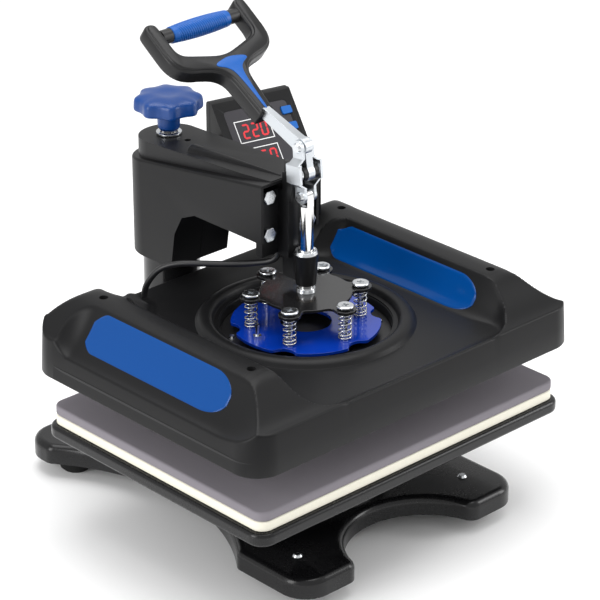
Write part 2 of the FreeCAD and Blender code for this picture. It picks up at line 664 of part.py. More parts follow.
handle_part(grip_sleeve, "grip_sleeve_shape", "grip_sleeve")
collars = []
for start in (-46.4, 35.1):
    collar = Part.makeCylinder(7, 11.3, FreeCAD.Vector(start, 0, grip_reach), FreeCAD.Vector(1, 0, 0))
    collars.append(collar.cut(Part.makeCylinder(5.05, 20, FreeCAD.Vector(start - 3, 0, grip_reach),
                                                FreeCAD.Vector(1, 0, 0))))
handle_part(Part.makeCompound(collars), "grip_collars_shape", "grip_collars")

# Lever bar: pivot eye, link eye and the bar into the stem.
eye = Part.makeCylinder(8.4, 8, pivot - X_AXIS * 4, X_AXIS)
eye = eye.fuse(Part.makeCylinder(8.4, 8, crank - X_AXIS * 4, X_AXIS))
side_step = FreeCAD.Vector(0, 6.6, -1.0)
neck_points = [pivot - side_step - X_AXIS * 4, pivot + side_step - X_AXIS * 4,
               crank + side_step - X_AXIS * 4, crank - side_step - X_AXIS * 4]
eye = eye.fuse(prism(neck_points, (8, 0, 0)))
lever = eye.fuse(bar_blank(0)).removeSplitter()
lever = lever.cut(Part.makeCylinder(4.05, 20, pivot - X_AXIS * 10, X_AXIS))
lever = lever.cut(Part.makeCylinder(3.05, 20, crank - X_AXIS * 10, X_AXIS))
subpart(shaped("lever_bar_shape", lever), "lever_bar")

# ---------------------------------------------------------------- link plates

lower = vec(0, 0, dim("pivot_up") - dim("link_down"))
link_span = crank - lower
link_length = link_span.Length
LINK = FreeCAD.Placement(lower, FreeCAD.Rotation(UP, link_span))
PLATE = 3.0
NARROW = 4.3
WIDE = 11.5


def link_plate(side):
    """One joggled plate in an upright frame, its lower pivot at the origin."""
    inner = [(NARROW, -8), (NARROW, 9), (WIDE, 14), (WIDE, link_length - 15), (NARROW, link_length - 10),
             (NARROW, link_length + 8)]
    outer = [(x + PLATE, z) for x, z in reversed(inner)]
    ribbon = prism([FreeCAD.Vector(side * x, -10, z) for x, z in inner + outer], (0, 20, 0))
    plan = Part.makeBox(40, 13, link_length, FreeCAD.Vector(-20, -6.5, 0))
    plan = plan.fuse(Part.makeBox(40, 18, 18, FreeCAD.Vector(-20, -9, link_length / 2 - 9)))
    for z in (0, link_length):
        plan = plan.fuse(Part.makeCylinder(7, 40, FreeCAD.Vector(-20, 0, z), X_AXIS))
    plate = ribbon.common(plan)
    upper_hole = Part.makeCylinder(3.05, 40, FreeCAD.Vector(-20, 0, link_length), X_AXIS)
    lower_hole = Part.makeCylinder(3.05, 40, FreeCAD.Vector(-20, 0, 0), X_AXIS)
    return plate.cut(upper_hole).cut(lower_hole)


for side, name in ((-1, "link_plate_left"), (1, "link_plate_right")):
    obj = shaped(name + "_shape", link_plate(side))
    obj.Placement = LINK
    subpart(obj, name)

upper_rivet = Part.makeCylinder(3, 19, FreeCAD.Vector(-9.5, 0, link_length), X_AXIS)
for side in (-1, 1):
    head = Part.makeCone(5, 3.8, 2.2, FreeCAD.Vector(side * 7.3, 0, link_length), X_AXIS * side)
    upper_rivet = upper_rivet.fuse(head)
stubs = [upper_rivet]
for side in (-1, 1):
    stub = Part.makeCylinder(3, 3, FreeCAD.Vector(side * 4.3, 0, 0), X_AXIS * side)
    stubs.append(stub.fuse(Part.makeCone(5, 3.8, 2.2, FreeCAD.Vector(side * 7.3, 0, 0), X_AXIS * side)))
obj = shaped("link_rivets_shape", Part.makeCompound(stubs))
obj.Placement = LINK
subpart(obj, "link_rivets")

# ---------------------------------------------------------------- plunger

plunger = fuse("plunger_solid", [
    rod("plunger_shaft", "rod_radius", "rod_top - star_top + 14", 0, 0, "star_top - 14"),
    box("plunger_tang", 8, 12, "pivot_up - link_down - rod_top", 0, 0, "rod_top"),
    rod("plunger_eye", 6, 8, -4, 0, "pivot_up - link_down", "+x"),
])
subpart(plunger, "plunger_rod")
subpart(cut("plunger_collar_ring", cone("collar_outer", 9.4, 8.6, 4, 0, 0, "star_top"),
            rod("collar_inner", "rod_radius + 0.05", 20, 0, 0, "star_top - 5")), "plunger_collar")
subpart(cut("plunger_nut_hex", hexagon("nut_outer", 11, 8, 0, 0, "star_top - star_thick - 8"),
            rod("nut_inner", "rod_radius + 0.05", 30, 0, 0, "star_top - 20")), "plunger_nut")
lobes = [rod("star_core", 43, "star_thick", 0, 0, "star_top - star_thick")]
lobes += [rod(f"star_lobe_{a}", 10.5, "star_thick", *ring_place("bolt_circle", a), "star_top - star_thick")
          for a in SIX]
star_blank = fillet("star_rounded", fuse("star_blank", lobes), 6, upright)
star_holes = [rod("star_centre", "rod_radius + 0.05", 20, 0, 0, "star_top - 10")]
star_holes += [rod(f"star_hole_{a}", 3.6, 20, *ring_place("bolt_circle", a), "star_top - 10") for a in SIX]
subpart(bore("star_plate_cut", star_blank, star_holes), "star_plate")

# ---------------------------------------------------------------- floating upper platen

float_disc = rod("float_disc", "float_radius", "float_thick", 0, 0, "float_base")
notches = [rod(f"float_notch_{a}", 12, 20, *ring_place("float_radius + 4.5", a), "float_base - 5") for a in SIX]
float_cut = fillet("float_rounded", bore("float_notched", float_disc, notches), 5, upright)
float_holes = [rod("float_centre", 24, 20, 0, 0, "float_base - 5")]
float_holes += [rod(f"float_hole_{a}", 3.05, 20, *ring_place("bolt_circle", a), "float_base - 5") for a in SIX]
subpart(bore("float_plate_cut", float_cut, float_holes), "float_plate")

shoulder_bolts = []
springs = []
for a in SIX:
    x, y = ring_place("bolt_circle", a)
    shank = rod(f"shoulder_shank_{a}", 3, "star_top - heater_top + 1", x, y, "heater_top")
    head = cone(f"shoulder_head_{a}", 8, 6.6, 4.6, x, y, "star_top + 0.1")
    foot = rod(f"shoulder_foot_{a}", 7, "float_base - heater_top", x, y, "heater_top")
    shoulder_bolts.append(fuse(f"shoulder_bolt_{a}", [shank, head, foot]))
subpart(group("shoulder_bolt_group", shoulder_bolts), "shoulder_bolts")

spring_low = dim("float_base") + dim("float_thick")
spring_high = dim("star_top") - dim("star_thick")
spring_wire = 1.1
for a in SIX:
    turn = math.radians(a)
    centre = vec(dim("bolt_circle") * math.cos(turn), dim("bolt_circle") * math.sin(turn), 0)
    helix = Part.makeHelix(4.3, spring_high - spring_low - 2 * spring_wire - 0.4, 6.0)
    section = Part.Wire(Part.makeCircle(spring_wire, FreeCAD.Vector(6.0, 0, 0), FreeCAD.Vector(0, 1, 0.11)))
    coil = Part.Wire(helix.Edges).makePipeShell([section], True, False)
    coil.translate(FreeCAD.Vector(centre.x, centre.y, spring_low + spring_wire + 0.2))
    springs.append(coil)
subpart(shaped("springs_shape", Part.makeCompound(springs)), "pressure_springs")

# Heating plate, the sheet over it and the small screws in the well.
heater = box("heater_block", "pad_long", "pad_deep", "heater_top - heater_base", 0, 0, "heater_base")
heater_round = fillet("heater_rounded", heater, dim("pad_corner"), upright)
subpart(heater_round, "heating_plate")
sheet_disc = rod("well_sheet_disc", "well_radius - 0.5", 1.5, 0, 0, 188.5)
sheet_holes = [rod(f"sheet_hole_{a}", 7.5, 10, *ring_place("bolt_circle", a), 185) for a in SIX]
subpart(bore("well_sheet_cut", sheet_disc, sheet_holes), "well_sheet")
well_screws = []
for a in SIX:
    x, y = ring_place("float_radius + 0.5", a)
    well_screws.append(cone(f"well_screw_{a}", 3.4, 2.4, 2, x, y, 190))
post = fuse("earth_post_solid", [rod("earth_post", 2, 14, -58.5, 3, "float_base + float_thick"),
                                 hexagon("earth_nut", 4.4, 3.5, -58.5, 3, "float_base + float_thick")])
subpart(group("well_fastener_group", well_screws + [post]), "well_fasteners")

# Upper cover: a drafted tray with two hollow side wings and a round well.
half_long = dim("cover_half_long")
half_deep = dim("cover_half_deep")
cover_low = dim("cover_under")
deck_top = dim("deck_top")
wing_top = dim("wing_top")
rail = dim("wing_rail")


def rounded_rectangle(half_x, half_y, radius, height):
    """A closed wire with four arcs for corners."""
    edges = []
    arc_x = half_x - radius
    arc_y = half_y - radius
    ends = [(1, -1, -90), (1, 1, 0), (-1, 1, 90), (-1, -1, 180)]
    arcs = [Part.makeCircle(radius, vec(sx * arc_x, sy * arc_y, height), UP, start, start + 90)
            for sx, sy, start in ends]
    for n, arc in enumerate(arcs):
        following = arcs[(n + 1) % 4]
        edges.append(arc)
        edges.append(Part.makeLine(arc.Vertexes[-1].Point, following.Vertexes[0].Point))
    return Part.Wire(edges)


def tray(inset, low, high):
    draft = dim("cover_draft")
    corner = dim("cover_corner") - inset
    lower_wire = rounded_rectangle(half_long - inset, half_deep - inset, corner, low)
    upper_wire = rounded_rectangle(half_long - inset - draft, half_deep - inset - draft, corner - 1, high)
    return Part.makeLoft([lower_wire, upper_wire], True, True)


def wing(side, inset):
    """A side wing with its inner and outer scoops; the ends slope down front and back."""
    low = deck_top - 12
    section = [(201.5 - inset, low), (201.5 - inset, 193 - inset), (187 - inset, 207.5 - inset * 0.8),
               (165.5 - inset * 0.6, wing_top - 2 - inset), (160, wing_top - inset), (143, wing_top - inset),
               (137.5 + inset * 0.6, wing_top - 2 - inset), (116 + inset, 206 - inset * 0.8),
               (107 + inset, deck_top - 1 - inset), (107 + inset, low)]
    length = 2 * half_deep
    sweep = prism([vec(side * x, -half_deep, z) for x, z in section], (0, length, 0))
    ends = [(-half_deep + 3 + inset, low), (-half_deep + 3 + inset, 204 - inset), (-101 + inset, wing_top + 1 - inset),
            (112 - inset, wing_top + 1 - inset), (half_deep - 4 - inset, 206 - inset), (half_deep - 4 - inset, low)]
    profile = prism([vec(-250, y, z) for y, z in ends], (500, 0, 0))
    return sweep.common(profile)


cover_outer = tray(0, cover_low, deck_top)
for side in (-1, 1):
    cover_outer = cover_outer.fuse(wing(side, 0).common(tray(0, cover_low, wing_top + 20)))
wall = dim("cover_wall")
cavity = tray(wall, cover_low - 1, deck_top - wall)
for side in (-1, 1):
    cavity = cavity.fuse(wing(side, wall).common(tray(wall, cover_low - 1, wing_top + 20)))
rim = Part.makeCylinder(dim("rim_outer"), 12, vec(0, 0, dim("rim_top") - 12), UP)
rim = rounded(rim, 2.5, lambda e: abs(e.BoundBox.ZMin - dim("rim_top")) < 0.01)
well_floor = Part.makeCylinder(dim("rim_inner"), 16, vec(0, 0, 190), UP)
cover = cover_outer.cut(cavity).fuse(rim)
skirt = Part.makeCylinder(dim("rim_inner") + 3, 12, vec(0, 0, 189), UP)
cover = cover.fuse(skirt)
cover = cover.cut(Part.makeCylinder(dim("rim_inner"), 40, vec(0, 0, 198), UP))
cover = cover.cut(Part.makeCylinder(dim("well_radius"), 60, vec(0, 0, 180), UP))

# Window seats and deep screw holes.
window_long = 186.0
window_wide = 33.0
window_thick = 3.0


def window(side, outward, grow):
    """A lens with rounded ends that lies on a scoop of a wing."""
    plate = Part.makeBox(window_wide + 2 * grow, window_long + 2 * grow, window_thick + grow,
                         FreeCAD.Vector(-window_wide / 2 - grow, -window_long / 2 - grow, -window_thick))
    plate = rounded(plate, 15, upright)
    lean = 53.0 if outward else -54.0
    middle_x = 176.6 if outward else 126.9
    middle_z = 221.4 if outward else 221.0
    plate.Placement = FreeCAD.Placement(vec(side * middle_x, 4, middle_z),
                                        FreeCAD.Rotation(FreeCAD.Vector(0, 1, 0), side * lean))
    return plate


windows = []
for side in (-1, 1):
    for outward in (True, False):
        cover = cover.cut(window(side, outward, 0.05))
        windows.append(window(side, outward, 0))
hole_spots = [(side * rail, y) for side in (-1, 1) for y in (109, -91)]
for x, y in hole_spots:
    tower = Part.makeCylinder(7.5, wing_top - 182, vec(x, y, 180), UP)
    cover = cover.fuse(tower)
    cover = cover.cut(Part.makeCylinder(4.2, 80, vec(x, y, 190), UP))
    cover = cover.cut(Part.makeCylinder(2.1, 80, vec(x, y, 170), UP))
subpart(shaped("upper_cover_shape", cover), "upper_cover")
subpart(shaped("cover_windows_shape", Part.makeCompound(windows)), "cover_windows")
cover_screws = []
for n, (x, y) in enumerate(hole_spots):
    head = rod(f"cover_screw_head_{n}", 3.9, 3, x, y, 190)
    shank = rod(f"cover_screw_shank_{n}", 2, 12, x, y, 178)
    cover_screws.append(fuse(f"cover_screw_solid_{n}", [head, shank]))
subpart(group("cover_screw_group", cover_screws), "cover_screws")

# ---------------------------------------------------------------- control box

BOX = FreeCAD.Placement(vec(dim("box_left"), dim("box_front"), 0), FreeCAD.Rotation(UP, dim("box_turn")))
knee = dim("box_knee")
box_top = dim("box_top")
box_low = dim("box_under")
box_width = dim("box_width")
box_depth = dim("box_depth")
lean = math.radians(dim("face_lean"))
face_run = (box_top - knee) * math.tan(lean)
seam = box_depth - 8
box_profile = [(0, box_low), (0, knee), (face_run, box_top), (box_depth, box_top), (box_depth, box_low)]


def box_solid(inset):
    inner = [(inset, box_low + inset), (inset, knee - inset * 0.4), (face_run + inset * 0.4, box_top - inset),
             (box_depth - inset, box_top - inset), (box_depth - inset, box_low + inset)]
    return prism([FreeCAD.Vector(inset, y, z) for y, z in inner], (box_width - 2 * inset, 0, 0))


def box_part(shape, name, label):
    obj = shaped(name, shape)
    obj.Placement = BOX.multiply(shape.Placement)
    return subpart(obj, label)


box_outer = box_solid(0)
box_outer = rounded(box_outer, 4, lambda e: e.BoundBox.XLength > box_width - 1)
box_shell = box_outer.cut(box_solid(3))
face_up = FreeCAD.Vector(0, math.sin(lean), math.cos(lean))
face_out = FreeCAD.Vector(0, -math.cos(lean), math.sin(lean))
FACE = FreeCAD.Placement(FreeCAD.Vector(0, 0, knee),
                         FreeCAD.Rotation(X_AXIS, face_up, face_out, "ZXY"))


def on_face(shape):
    """Move a shape drawn on the XY plane onto the leaning face."""
    moved = shape.copy()
    moved.Placement = FACE
    return moved


panel_low = 8.0
panel_high = 80.0


def panel_plate(grow, thick, drop):
    plate = Part.makeBox(box_width - 18 + 2 * grow, panel_high - panel_low + 2 * grow, thick,
                         FreeCAD.Vector(9 - grow, panel_low - grow, drop))
    return rounded(plate, 4, upright)


button_spots = [(76, v) for v in (69, 52, 35, 18)]


def button_block(spot, grow, low, high):
    x, v = spot
    block = Part.makeBox(11 + 2 * grow, 8 + 2 * grow, high - low, FreeCAD.Vector(x - 5.5 - grow, v - 4 - grow, low))
    return rounded(block, 1.5, upright)


box_shell = box_shell.cut(on_face(panel_plate(0.1, 4, -1.2)))
for spot in button_spots:
    box_shell = box_shell.cut(on_face(button_block(spot, 0.4, -8, 4)))
front_half = Part.makeBox(200, seam + 50, 300, FreeCAD.Vector(-50, -50, 150))
back_half = Part.makeBox(200, 60, 300, FreeCAD.Vector(-50, seam + 0.1, 150))
inlet_x = 24.0
inlet_z = 262.0
switch_x = 62.0
inlet_cut = Part.makeBox(27.2, 20, 20.2, FreeCAD.Vector(inlet_x - 13.6, box_depth - 10, inlet_z - 10.1))
switch_cut = Part.makeBox(19.2, 20, 13.2, FreeCAD.Vector(switch_x - 9.6, box_depth - 10, inlet_z - 6.6))
box_part(box_shell.common(front_half), "control_box_front_shape", "control_box_front")
box_part(box_shell.common(back_half).cut(inlet_cut).cut(switch_cut), "control_box_back_shape",
         "control_box_back")
panel = on_face(panel_plate(0, 1.0, -1.1))
for spot in button_spots:
    panel = panel.cut(on_face(button_block(spot, 0.4, -8, 4)))
box_part(panel, "display_panel_shape", "display_panel")
for name, spot in zip(("set_button", "up_button", "down_button", "start_button"), button_spots):
    cap_block = on_face(button_block(spot, 0, -5, 1.6))
    box_part(cap_block, name + "_shape", name)
inlet = Part.makeBox(27, 12, 20, FreeCAD.Vector(inlet_x - 13.5, box_depth - 9.5, inlet_z - 10))
inlet = inlet.fuse(Part.makeBox(65, 1.5, 24, FreeCAD.Vector(inlet_x - 15.5, box_depth + 0.05, inlet_z - 12)))
inlet = inlet.fuse(Part.makeBox(19, 9, 13, FreeCAD.Vector(switch_x - 9.5, box_depth - 8, inlet_z - 6.5)))
inlet = inlet.cut(Part.makeBox(21, 14, 14, FreeCAD.Vector(inlet_x - 10.5, box_depth - 6, inlet_z - 7)))
inlet = inlet.cut(Part.makeBox(16, 30, 10, FreeCAD.Vector(switch_x - 8, box_depth - 9, inlet_z - 5)))
for dx in (-5, 0, 5):
    inlet = inlet.fuse(Part.makeBox(1.6, 8, 4, FreeCAD.Vector(inlet_x + dx - 0.8, box_depth - 7, inlet_z - 2)))
box_part(inlet, "power_inlet_shape", "power_inlet")
rocker = Part.makeCylinder(7.6, 9.4, FreeCAD.Vector(switch_x, box_depth - 3, inlet_z - 4.7), UP)
rocker = rocker.common(Part.makeBox(15.2, 9, 9.4, FreeCAD.Vector(switch_x - 7.6, box_depth - 4.5, inlet_z - 4.7)))
box_part(rocker, "power_rocker_shape", "power_rocker")
board = Part.makeBox(box_width - 16, 1.6, 60, FreeCAD.Vector(8, seam - 12, box_low + 18))
board = board.fuse(Part.makeBox(24, 14, 20, FreeCAD.Vector(16, seam - 26, box_low + 28)))
board = board.fuse(Part.makeBox(18, 10, 14, FreeCAD.Vector(54, seam - 22, box_low + 30)))
box_part(board, "control_board_shape", "control_board")
stay_plan = [(dim("arm_half") + 0.05, 136), (dim("box_left") + 14, 136), (dim("box_left") + 14, 188),
             (dim("arm_half") + 0.05, 188)]
stay = prism([vec(x, y, 292) for x, y in stay_plan], (0, 0, 22))
box_world = box_solid(0)
box_world.Placement = BOX
stay = stay.cut(box_world)
stay = max(stay.Solids, key=lambda piece: piece.Volume)
subpart(shaped("box_stay_shape", stay), "control_box_stay")

# ---------------------------------------------------------------- heater lead

LEAD_DIAMETER = 6.0
LEAD_ROUTE = [(-6, 30, 263.9), (-6, 30, 252.5), (-21, 53.5, 246.5), (-35, 71, 244.3), (-50, 90.6, 243.3),
              (-63, 108.5, 241.5), (-73, 123, 235), (-79.6, 132.5, 219.5), (-81, 136, 208.5),
              (-81, 136, 203.05)]


def corded(route, diameter):
    """A tube of straight runs and tangent arcs along a route."""
    points = [vec(*p) for p in route]
    edges = []
    last = points[0]
    for before, corner, after in zip(points, points[1:], points[2:]):
        arriving = (corner - before)
        leaving = (after - corner)
        turn = arriving.getAngle(leaving)
        setback = 0.45 * min(arriving.Length, leaving.Length)
        start = corner - arriving.normalize() * setback
        end = corner + leaving.normalize() * setback
        radius = setback / math.tan(turn / 2)
        print(f"lead bend radius {radius:.1f} mm")
        bisector = ((start + end) * 0.5 - corner)
        centre = corner + bisector.normalize() * (radius / math.cos(turn / 2))
        middle = centre + (corner - centre).normalize() * radius
        edges.append(Part.LineSegment(last, start).toShape())
        edges.append(Part.Arc(start, middle, end).toShape())
        last = end
    edges.append(Part.LineSegment(last, points[-1]).toShape())
    path = Part.Wire(edges)
    direction = points[1] - points[0]
    section = Part.Wire(Part.makeCircle(diameter / 2, points[0], direction))
    tube_ = path.makePipeShell([section], True, False)
    print(f"lead length {path.Length:.1f} mm, volume ratio "
          f"{tube_.Volume / (math.pi * diameter ** 2 / 4 * path.Length):.4f}")
    return tube_


subpart(shaped("heater_lead_shape", corded(LEAD_ROUTE, LEAD_DIAMETER)), "heater_lead")

# ---------------------------------------------------------------- check and write

doc.recompute()
for obj in doc.Objects:
    if "Invalid" in obj.State or "Error" in obj.State:
        raise RuntimeError(f"{obj.Name} failed: {obj.State}")
labels = [obj.Label for obj in SUBPARTS]
if len(set(labels)) != len(labels):
    raise RuntimeError("two sub-parts share a label")
for obj in SUBPARTS:
    if obj.Shape.isNull() or not obj.Shape.isValid():
        raise RuntimeError(f"{obj.Label} has no valid shape")
os.makedirs("parts", exist_ok=True)
for obj in SUBPARTS:
    obj.Shape.exportStep(f"parts/{obj.Label}.step")
whole = Part.makeCompound([obj.Shape for obj in SUBPARTS]).BoundBox
print(f"{len(SUBPARTS)} sub-parts, X {whole.XMin:.1f} {whole.XMax:.1f}, "
      f"Y {whole.YMin:.1f} {whole.YMax:.1f}, Z {whole.ZMin:.1f} {whole.ZMax:.1f}")
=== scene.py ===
# %% [markdown]
# # Swing-away heat press
# A bench press for transfers: a cast base carries a padded lower platen and a column, an arm swings
# on the column, and a toggle handle drives a sprung, heated platen down on the pads. The packed
# model already holds every part at its real size, so each step below gives one part the look of
# the real thing: black moulded covers, bright zinc hardware, glossy blue windows, foam pads.

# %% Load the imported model
import bpy
import bmesh
import json
import math
import numpy as np
from mathutils import Matrix, Vector

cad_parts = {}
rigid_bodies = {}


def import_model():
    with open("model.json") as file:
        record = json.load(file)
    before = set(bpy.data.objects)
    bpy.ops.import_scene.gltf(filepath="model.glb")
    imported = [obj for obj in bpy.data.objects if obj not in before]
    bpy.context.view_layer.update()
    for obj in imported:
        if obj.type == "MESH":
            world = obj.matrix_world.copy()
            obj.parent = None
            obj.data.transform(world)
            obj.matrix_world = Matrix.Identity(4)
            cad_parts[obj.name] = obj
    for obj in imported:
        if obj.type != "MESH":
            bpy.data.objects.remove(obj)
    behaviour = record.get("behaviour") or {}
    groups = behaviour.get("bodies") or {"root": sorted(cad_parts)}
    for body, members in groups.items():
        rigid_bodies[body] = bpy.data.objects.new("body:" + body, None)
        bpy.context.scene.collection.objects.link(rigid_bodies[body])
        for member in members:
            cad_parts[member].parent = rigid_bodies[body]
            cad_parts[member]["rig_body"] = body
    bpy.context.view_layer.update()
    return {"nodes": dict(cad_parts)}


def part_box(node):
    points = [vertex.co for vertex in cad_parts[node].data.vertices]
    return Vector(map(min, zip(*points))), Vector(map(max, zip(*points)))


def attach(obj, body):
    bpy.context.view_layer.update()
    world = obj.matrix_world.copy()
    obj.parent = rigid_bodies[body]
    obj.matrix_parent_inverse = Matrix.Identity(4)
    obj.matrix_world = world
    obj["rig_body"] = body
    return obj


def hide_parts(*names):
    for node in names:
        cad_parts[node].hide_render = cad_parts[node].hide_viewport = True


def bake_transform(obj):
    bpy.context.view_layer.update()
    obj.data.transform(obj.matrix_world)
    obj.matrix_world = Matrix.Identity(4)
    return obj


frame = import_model()
nodes = frame["nodes"]
MM = 0.001


def middle(node):
    low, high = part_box(node)
    return (low + high) / 2


platen_y = middle("plunger_rod").y
print(f"{len(nodes)} nodes, platen axis at y {platen_y:.4f} m")

# %% [markdown]
# ## Camera
# The view is from the operator's left, a little above the machine, with a long lens: a long lens
# keeps parallel edges nearly parallel, as in a catalogue picture.

# %% Camera
YAW = math.radians(43.35)
PITCH = math.radians(25.2)
camera = bpy.data.objects.new("camera", bpy.data.cameras.new("camera"))
bpy.context.scene.collection.objects.link(camera)
camera.data.lens = 162
camera.data.sensor_width = 36
camera.data.clip_end = 20
camera.location = (-1.5559, platen_y - 1.6402, 1.2843)
camera.rotation_euler = (math.pi / 2 - PITCH, 0, -YAW)
bpy.context.scene.camera = camera
print("camera", tuple(round(v, 3) for v in camera.location))

# %% [markdown]
# ## Shared helpers
# A mesh made in code needs the same few steps each time: build it from vertices and faces, merge
# what coincides, shade it smooth except where an edge is really sharp, and hand it to its body.

# %% Mesh helpers
SHARP = math.radians(35)


def smooth(mesh, angle=SHARP):
    for face in mesh.polygons:
        face.use_smooth = True
    mesh.set_sharp_from_angle(angle=angle)


def linked(name, data):
    piece = bpy.data.objects.new(name, data)
    bpy.context.scene.collection.objects.link(piece)
    return piece


def ring_faces(rings, count, closed=False, capped=True):
    """Faces between rings of count points each, laid one after another."""
    quads = []
    for k in range(rings if closed else rings - 1):
        a, b = k * count, (k + 1) % rings * count
        quads += [(a + n, a + (n + 1) % count, b + (n + 1) % count, b + n) for n in range(count)]
    if capped:
        quads += [tuple(range(count)), tuple(range((rings - 1) * count, rings * count))]
    return quads


def new_piece(name, verts, faces, material, angle=SHARP, merge=1e-6):
    mesh = bpy.data.meshes.new(name)
    mesh.from_pydata([tuple(v) for v in verts], [], faces)
    work = bmesh.new()
    work.from_mesh(mesh)
    bmesh.ops.remove_doubles(work, verts=work.verts, dist=merge)
    bmesh.ops.recalc_face_normals(work, faces=work.faces)
    work.to_mesh(mesh)
    work.free()
    smooth(mesh, angle)
    mesh.materials.append(material)
    return linked(name, mesh)


def plain_mesh(piece):
    """Turn a piece's live modifiers into its own mesh."""
    graph = bpy.context.evaluated_depsgraph_get()
    made = bpy.data.meshes.new_from_object(piece.evaluated_get(graph))
    piece.modifiers.clear()
    piece.data = made
    return piece


def stand_for(piece, body, *replaced):
    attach(piece, body)
    if replaced:
        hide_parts(*replaced)
    return piece


def soften(node, width, material):
    """A copy of a node with its sharp edges broken, so that they catch the light."""
    source = nodes[node]
    mesh = source.data.copy()
    work = bmesh.new()
    work.from_mesh(mesh)
    bmesh.ops.remove_doubles(work, verts=work.verts, dist=2e-6)
    bmesh.ops.dissolve_limit(work, angle_limit=math.radians(0.6), verts=work.verts, edges=work.edges,
                             delimit={"NORMAL"})
    work.to_mesh(mesh)
    work.free()
    mesh.materials.clear()
    mesh.materials.append(material)
    if mesh.has_custom_normals:
        mesh.attributes.remove(mesh.attributes["custom_normal"])
    smooth(mesh)
    piece = linked(node + "_finished", mesh)
    bevel = piece.modifiers.new("broken edges", "BEVEL")
    bevel.width = width
    bevel.segments = 2
    bevel.limit_method = "ANGLE"
    bevel.angle_limit = math.radians(30)
    bevel.harden_normals = True
    plain_mesh(piece)
    return stand_for(piece, source["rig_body"], node)


print("helpers ready")

# %% [markdown]
# ## Shader groups
# Two effects come back on many parts: the fine grain of moulded or blasted surfaces, with a slow
# unevenness of its gloss, and the soft brightening of edges, partly wear and partly painted sheen.
# Each is one node group with named inputs, so that a material only sets its own scale and strength.

# %% Node helpers
def put(tree, kind, inputs=(), **settings):
    """A new node with its settings. An input may be a plain value or another node's output."""
    node = tree.nodes.new(kind)
    for name, value in settings.items():
        setattr(node, name, value)
    for name, value in dict(inputs).items():
        if isinstance(value, bpy.types.NodeSocket):
            tree.links.new(value, node.inputs[name])
        else:
            node.inputs[name].default_value = value
    return node


def shader_group(name, inputs, outputs):
    tree = bpy.data.node_groups.new(name, "ShaderNodeTree")
    for label, kind, value in inputs:
        socket = tree.interface.new_socket(label, in_out="INPUT", socket_type=kind)
        socket.default_value = value
    for label, kind in outputs:
        tree.interface.new_socket(label, in_out="OUTPUT", socket_type=kind)
    return tree, tree.nodes.new("NodeGroupInput"), tree.nodes.new("NodeGroupOutput")


def math_node(tree, operation, a, b, clamp=False):
    return put(tree, "ShaderNodeMath", {0: a, 1: b}, operation=operation, use_clamp=clamp).outputs[0]


def noise(tree, vector, scale, detail):
    return put(tree, "ShaderNodeTexNoise", {"Detail": detail, "Vector": vector, "Scale": scale}).outputs[0]


FLOAT = "NodeSocketFloat"
VECTOR = "NodeSocketVector"

# %% Grain group
grain_group, gin, gout = shader_group("fine grain", [("Vector", VECTOR, (0, 0, 0)), ("Scale", FLOAT, 1500),
                                                     ("Base", FLOAT, 0.4), ("Spread", FLOAT, 0.1)],
                                      [("Height", FLOAT), ("Roughness", FLOAT)])
fine = noise(grain_group, gin.outputs["Vector"], gin.outputs["Scale"], 2.0)
cloud = noise(grain_group, gin.outputs["Vector"], 22.0, 3.0)
grain_group.links.new(fine, gout.inputs["Height"])
mixed = math_node(grain_group, "ADD", math_node(grain_group, "MULTIPLY", fine, 0.5),
                  math_node(grain_group, "MULTIPLY", cloud, 0.5))
centred = math_node(grain_group, "SUBTRACT", mixed, 0.5)
spread = math_node(grain_group, "MULTIPLY", centred, gin.outputs["Spread"])
gloss = math_node(grain_group, "ADD", spread, gin.outputs["Base"], True)
grain_group.links.new(gloss, gout.inputs["Roughness"])
print("grain group:", [s.name for s in grain_group.interface.items_tree])

# %% Worn edge group: edge wear and painted sheen
wear_sheen_group, win, wout = shader_group("edge wear and painted sheen", [("Colour", "NodeSocketColor", (0, 0, 0, 1)),
                                                    ("Wear and sheen colour", "NodeSocketColor", (1, 1, 1, 1)),
                                                    ("Amount", FLOAT, 0.5)],
                                     [("Colour", "NodeSocketColor")])
# Convex edges are lightened from Pointiness: partly real wear, partly a painted sheen standing in for edge
# highlights.
geometry = put(wear_sheen_group, "ShaderNodeNewGeometry")
ramp = put(wear_sheen_group, "ShaderNodeMapRange", {"From Min": 0.53, "From Max": 0.62,
                                              "Value": geometry.outputs["Pointiness"]})
amount = math_node(wear_sheen_group, "MULTIPLY", ramp.outputs["Result"], win.outputs["Amount"], True)
blend = put(wear_sheen_group, "ShaderNodeMix", {"Factor": amount, "A": win.outputs["Colour"],
                                          "B": win.outputs["Wear and sheen colour"]}, data_type="RGBA")
wear_sheen_group.links.new(blend.outputs["Result"], wout.inputs["Colour"])
print("worn edge group ready")
